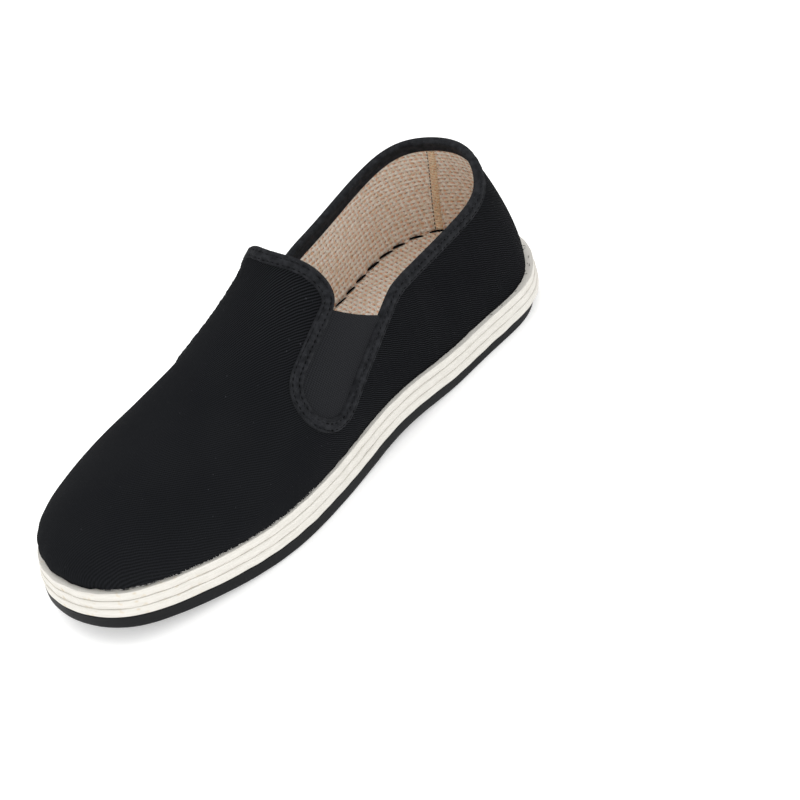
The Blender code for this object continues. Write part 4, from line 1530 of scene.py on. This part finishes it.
@dataclass
class WhiteStack:
    """The three white cloth-covered layers between the rubber and the upper."""
    last: Last
    finishes: Finishes
    round_edge: float = 0.30
    belly: float = 0.12
    uneven: float = 0.11

    def layer(self, number: int) -> bpy.types.Object:
        """One layer: quarter rounds below and above a slightly full side.

        Args:
            number: the layer, counted from below.

        Returns:
            The finished piece.
        """
        thick = self.last.layer_thick + self.last.gap - 0.04
        edge = self.round_edge
        angle = np.linspace(0.0, QUARTER, 7)
        side = np.linspace(0.0, 1.0, 6)[1:-1]
        bottom = np.stack((edge * (1.0 - np.sin(angle)), edge * (1.0 - np.cos(angle))), 1)
        wall = np.stack((-self.belly * np.sin(math.pi * side),
                         edge + (thick - 2.0 * edge) * side), 1)
        top = np.stack((edge * (1.0 - np.cos(angle)),
                        thick - edge * (1.0 - np.sin(angle))), 1)
        ledge = np.array(((2.4, thick), (4.5, thick), (8.5, thick)))
        under = ledge[::-1] * np.array((1.0, 0.0))
        section = np.concatenate((under, bottom, wall, top, ledge))
        ring = SoleRing(self.last)
        points, flat, index = ring.rings(section[:, 0] + self.last.layer_step * number,
                                         section[:, 1],
                                         self.last.layer_bottom(number) - 0.5 * self.last.gap,
                                         0.0, self.uneven, 11 + 3 * number)
        draft = Draft()
        draft.grid(points, flat, wrap_columns=True, index=index)
        piece = draft.make(f"white_layer_{number + 1}_cloth", self.finishes.white, self.last)
        return dress(piece, "white_cotton", f"white_layer_{number + 1}")

    def ledge_threads(self) -> bpy.types.Object:
        """Loose ends of dark thread on the heel's ledge, where the seat's sewing shows."""
        source = np.random.default_rng(SEED + 40)
        count = 26
        turn = source.uniform(0.05, 0.95, count)
        turn = np.where(source.random(count) < 0.3, FULL - turn, turn)
        inset = self.last.ledge_heel * source.uniform(0.45, 0.95, count)
        base = self.last.outline(turn, inset)
        swing = source.uniform(0.0, FULL, count)
        reach = source.uniform(0.6, 1.6, count)
        shares = np.linspace(-0.5, 0.5, 6)
        bow = (shares ** 2 - 0.25)[None, :] * source.uniform(-1.5, 1.5, count)[:, None]
        x = base[:, :1] + (np.cos(swing) * reach)[:, None] * shares - np.sin(swing)[:, None] * bow
        y = base[:, 1:] + (np.sin(swing) * reach)[:, None] * shares + np.cos(swing)[:, None] * bow
        z = self.last.floor_rise(x) + self.last.seat + 0.06 + 0.0 * y
        draft = Draft()
        add_tubes(draft, np.stack((x, y, z), -1), np.full((1, 1), 0.11), 5)
        return dress(draft.make("ledge_threads", self.finishes.grey_thread, self.last),
                     "white_cotton")

    def edge_fibres(self) -> bpy.types.Object:
        """White fibres of the ledge's cloth that catch on the upper's lower edge."""
        source = np.random.default_rng(SEED + 41)
        count = 240
        turn = np.sort(source.uniform(1.9, 2.9, count))
        foot = self.last.skin(turn, np.full(count, 0.02))
        out = self.last.normal(turn, np.full(count, 0.05))
        reach = source.uniform(0.15, 0.5, count)
        shares = np.linspace(0.0, 1.0, 4)
        slide = source.uniform(-0.6, 0.6, count)
        tangent = unit(np.roll(foot, -1, 0) - np.roll(foot, 1, 0))
        paths = (foot[:, None] + out[:, None] * (0.35 - 0.22 * shares)[None, :, None]
                 + tangent[:, None] * (slide[:, None] * shares)[..., None])
        paths[..., 2] += -0.1 + reach[:, None] * shares
        draft = Draft()
        add_tubes(draft, paths, (0.05 * (1.0 - 0.6 * shares))[None, :], 4)
        return dress(draft.make("edge_fibres", self.finishes.white_fibre, self.last),
                     "white_cotton")

    def build(self) -> None:
        """Builds the layers and the small threads on them."""
        for number in range(self.last.layer_count):
            self.layer(number)
        self.ledge_threads()
        self.edge_fibres()


@dataclass
class Outsole:
    """The black rubber outsole and the bars of its tread."""
    last: Last
    finishes: Finishes
    edge_round: float = 1.3
    border: float = 6.5
    groove: float = 0.9
    bar_pitch: float = 6.0
    bar_width: float = 3.6

    def rubber(self) -> bpy.types.Object:
        """The moulded plate: a recessed middle, a flat border, a rounded lower edge, a plain
        side and a small rounding on top."""
        thick = self.last.rubber_thick
        edge = self.edge_round
        angle = np.linspace(0.0, QUARTER, 8)
        under = np.array(((self.border + 0.9, self.groove), (self.border + 0.5, self.groove),
                          (self.border, 0.0), (3.0, 0.0)))
        bottom = np.stack((edge * (1.0 - np.sin(angle)), edge * (1.0 - np.cos(angle))), 1)
        side = np.array(((0.0, 0.45 * thick), (0.02, 0.7 * thick), (0.05, 0.85 * thick)))
        top = np.stack((0.05 + 0.5 * (1.0 - np.cos(angle)),
                        thick - 0.5 * (1.0 - np.sin(angle))), 1)
        over = np.array(((2.0, thick), (9.0, thick)))
        section = np.concatenate((under, bottom, side, top, over))
        points, flat, index = SoleRing(self.last).rings(
            section[:, 0], section[:, 1], 0.0, self.last.rubber_tuck, 0.03, 31)
        draft = Draft()
        draft.grid(points, flat, wrap_columns=True, index=index)
        piece = draft.make("rubber_outsole", self.finishes.rubber, self.last)
        return dress(piece, "rubber", "outsole")

    def tread(self) -> bpy.types.Object:
        """Wavy bars across the sole between heel and toe: each is a ridge with sloping sides
        whose ends stop short of the border."""
        centres = np.arange(self.border + 8.0, self.last.length - self.border - 6.0,
                            self.bar_pitch)
        share = centres / self.last.length
        centres = centres[(share < 0.27) | (share > 0.47)]
        turn = np.arccos(1.0 - 2.0 * centres / self.last.length)
        room = self.border + 1.6
        left = self.last.fullness(turn, np.zeros(1, bool)) * np.sin(turn) - room
        right = self.last.fullness(turn, np.ones(1, bool)) * np.sin(turn) - room
        fits = (left > 4.0) & (right > 4.0)
        centres, left, right = centres[fits], left[fits], right[fits]
        shares = np.linspace(0.0, 1.0, 41)
        y = -right[:, None] + (left + right)[:, None] * shares
        x = centres[:, None] + 1.1 * np.sin(y / 3.2)
        half = 0.5 * self.bar_width
        section = np.array(((-half, self.groove + 0.1), (-half + 0.5, 0.02),
                            (half - 0.5, 0.02), (half, self.groove + 0.1)))
        place = x[..., None] + section[:, 0]
        height = self.last.floor_rise(place) + section[:, 1]
        points = np.stack((place, np.broadcast_to(y[..., None], place.shape), height), -1)
        draft = Draft()
        for bar in points:
            draft.grid(bar, wrap_columns=True)
            for end in (bar[0], bar[-1][::-1]):
                draft.grid(np.stack((end[:2], end[3:1:-1])))
        return dress(draft.make("outsole_tread", self.finishes.rubber, self.last), "rubber")

    def build(self) -> None:
        """Builds the plate and its tread."""
        self.rubber()
        self.tread()


@dataclass
class Insole:
    """The woven insole pad and the hand stitches that hold the upper's seat."""
    last: Last
    finishes: Finishes
    edge_gap: float = 0.15
    edge_round: float = 0.9
    stitch_pitch: float = 9.5
    stitch_share: float = 0.84
    stitch_thick: float = 0.58

    def pad(self) -> bpy.types.Object:
        """The pad: rows drawn across the shoe from edge to edge, slightly sunk in the middle
        and rounded down at the rim."""
        columns = np.linspace(0.0, math.pi, 261)
        inset = self.last.wall + self.edge_gap
        left = self.last.skin(columns, np.zeros(1), inset)
        right = self.last.skin(FULL - columns, np.zeros(1), inset)
        across = np.sin(np.linspace(-QUARTER, QUARTER, 75))
        share = 0.5 * (1.0 + across)
        line = right[:, None] + (left - right)[:, None] * share[None, :, None]
        width = np.abs(left[:, 1] - right[:, 1])[:, None]
        from_rim = 0.5 * width * (1.0 - np.abs(across))[None, :]
        from_end = np.minimum(line[..., 0] - left[0, 0], left[-1, 0] - line[..., 0])
        near = np.minimum(from_rim, np.clip(from_end, 0.0, None))
        droop = self.edge_round * np.exp(-near / 0.7)
        sunk = 0.5 * np.exp(-((line[..., 0] - 42.0) / 30.0) ** 2) * (1.0 - across ** 2)[None, :]
        top = self.last.floor_rise(line[..., 0]) + self.last.seat + self.last.insole_thick
        surface = line.copy()
        surface[..., 2] = top - droop - sunk + 0.12 * np.sin(line[..., 0] / 11.0)
        below = line.copy()
        below[..., 2] = self.last.floor_rise(line[..., 0]) + self.last.seat + 0.2
        sheet = np.concatenate((surface, below[:, ::-1]), 1)
        draft = Draft()
        draft.grid(sheet, sheet[..., :2], wrap_columns=True)
        return dress(draft.make("insole_pad", self.finishes.insole, self.last, flip=True),
                     "woven_lining", "insole")

    def stitches(self) -> bpy.types.Object:
        """Long black hand stitches in the corner between the lining and the insole, each a
        slack thread that dives in at both ends."""
        turn = np.linspace(0.0, FULL, 900, endpoint=False)
        inset = self.last.wall + 1.35
        line = self.last.skin(turn, np.full_like(turn, 0.02), inset)
        line[:, 2] = self.last.floor_rise(line[:, 0]) + self.last.seat + self.last.insole_thick
        walked = along(line)
        count = int(walked[-1] / self.stitch_pitch)
        source = np.random.default_rng(SEED + 55)
        starts = np.arange(count) * self.stitch_pitch + source.uniform(-0.6, 0.6, count)
        shares = np.linspace(0.0, 1.0, 9)
        middle = np.array((0.5 * self.last.length, 0.0, 0.0))
        inwards = unit((middle - line) * np.array((0.35, 1.0, 0.0)))
        slack = 0.45 + 0.55 * np.sin(math.pi * shares) ** 0.5
        lift = 0.05 + 0.28 * np.sin(math.pi * shares) ** 0.4
        length = source.uniform(0.85, 1.1, count)[:, None] * self.stitch_share
        here = starts[:, None] + shares * self.stitch_pitch * length
        shift = 1.6 * (shares - 0.5)[None, :] + source.uniform(-0.25, 0.25, count)[:, None]
        paths = np.stack([np.interp(here, walked, line[:, axis])
                          + np.interp(here, walked, inwards[:, axis]) * shift
                          for axis in range(3)], -1)
        paths[..., 2] += lift[None, :]
        girth = source.uniform(0.62, 1.05, count)[:, None]
        draft = Draft()
        add_tubes(draft, paths, self.stitch_thick * slack[None, :] * girth, 8)
        return dress(draft.make("insole_stitches", self.finishes.black_thread, self.last),
                     "black_cotton")

    def build(self) -> None:
        """Builds the pad and its stitches."""
        self.pad()
        self.stitches()


@dataclass(frozen=True)
class Studio:
    """A pale floor, soft lights and the photograph's camera."""
    azimuth: float = math.radians(45.73)
    elevation: float = math.radians(36.86)
    roll: float = math.radians(-11.96)
    distance: float = 775.9
    shift_right: float = -40.36
    shift_up: float = 11.71
    aim_height: float = 30.0
    focal_pixels: float = 1920.2
    picture_width: float = 800.0
    sensor: float = 36.0
    floor_glow: float = 0.34

    def camera(self, last: Last) -> None:
        """The camera looks down the line from the azimuth and elevation, rolled, and is moved
        sideways and up in its own picture plane.

        Args:
            last: gives the shift of the sole's middle.
        """
        back = np.array((math.cos(self.azimuth) * math.cos(self.elevation),
                         math.sin(self.azimuth) * math.cos(self.elevation),
                         math.sin(self.elevation)))
        right = unit(np.cross(-back, (0.0, 0.0, 1.0)))
        up = np.cross(right, -back)
        turned = right * math.cos(self.roll) + up * math.sin(self.roll)
        raised = up * math.cos(self.roll) - right * math.sin(self.roll)
        aim = np.array((0.0, last.middle, self.aim_height))
        place = aim + back * self.distance - turned * self.shift_right - raised * self.shift_up
        lens = bpy.data.cameras.new("Camera")
        lens.sensor_width = self.sensor
        lens.lens = self.sensor * self.focal_pixels / self.picture_width
        lens.clip_start = 0.01
        camera = bpy.data.objects.new("Camera", lens)
        bpy.context.scene.collection.objects.link(camera)
        pose = Matrix((turned, raised, back)).transposed().to_4x4()
        pose.translation = Vector(place * MM)
        camera.matrix_world = pose
        bpy.context.scene.camera = camera

    def floor(self) -> None:
        """A wide pale floor."""
        reach = 3.0
        mesh = bpy.data.meshes.new("floor")
        mesh.from_pydata([(-reach, -reach, 0.0), (reach, -reach, 0.0), (reach, reach, 0.0),
                          (-reach, reach, 0.0)], [], [(0, 1, 2, 3)])
        paint = bpy.data.materials.new("Pale paper")
        paint.use_nodes = True
        shader = paint.node_tree.nodes["Principled BSDF"]
        shader.inputs["Base Color"].default_value = linear("#F4F4F3")
        shader.inputs["Roughness"].default_value = 0.95
        shader.inputs["Specular IOR Level"].default_value = 0.1
        shader.inputs["Emission Color"].default_value = (1.0, 1.0, 1.0, 1.0)
        shader.inputs["Emission Strength"].default_value = self.floor_glow
        mesh.materials.append(paint)
        ground = bpy.data.objects.new("floor", mesh)
        bpy.context.scene.collection.objects.link(ground)

    def light(self, name: str, place: Sequence[float], aim: Sequence[float], size: float,
              power: float) -> None:
        """A square soft light that faces a point.

        Args:
            name: the lamp's name.
            place: where it hangs, in metres.
            aim: the point that it faces.
            size: side of the square.
            power: its power in watts.
        """
        data = bpy.data.lights.new(name, "AREA")
        data.size = size
        data.energy = power
        lamp = bpy.data.objects.new(name, data)
        lamp.location = place
        way = Vector(place) - Vector(aim)
        lamp.rotation_euler = way.to_track_quat("Z", "Y").to_euler()
        bpy.context.scene.collection.objects.link(lamp)

    def build(self, last: Last) -> None:
        """Sets up the camera, the floor, the lights and the even white surroundings."""
        self.camera(last)
        self.floor()
        self.light("Key light", (0.2, -0.9, 1.5), (0.0, 0.0, 0.03), 1.4, 9.0)
        self.light("Fill light", (0.9, 1.3, 0.9), (0.0, 0.0, 0.03), 1.8, 7.0)
        world = bpy.data.worlds.new("Surroundings")
        world.use_nodes = True
        sky = world.node_tree.nodes["Background"]
        sky.inputs["Color"].default_value = (1.0, 1.0, 1.0, 1.0)
        sky.inputs["Strength"].default_value = 1.0
        bpy.context.scene.world = world
        view = bpy.context.scene.view_settings
        view.view_transform = "Standard"


def main() -> None:
    """Builds the shoe, piece by piece, and the studio round it."""
    logging.basicConfig(level=logging.INFO, format="%(name)s: %(message)s")
    last = Last()
    opening = Opening(last)
    finishes = build_finishes()
    Outsole(last, finishes).build()
    WhiteStack(last, finishes).build()
    Insole(last, finishes).build()
    Upper(last, opening, finishes).build()
    Gore(last, opening, finishes, right_side=False).build()
    Gore(last, opening, finishes, right_side=True).build()
    Binding(last, opening, finishes).build()
    Studio().build(last)


if __name__ == "__main__":
    main()
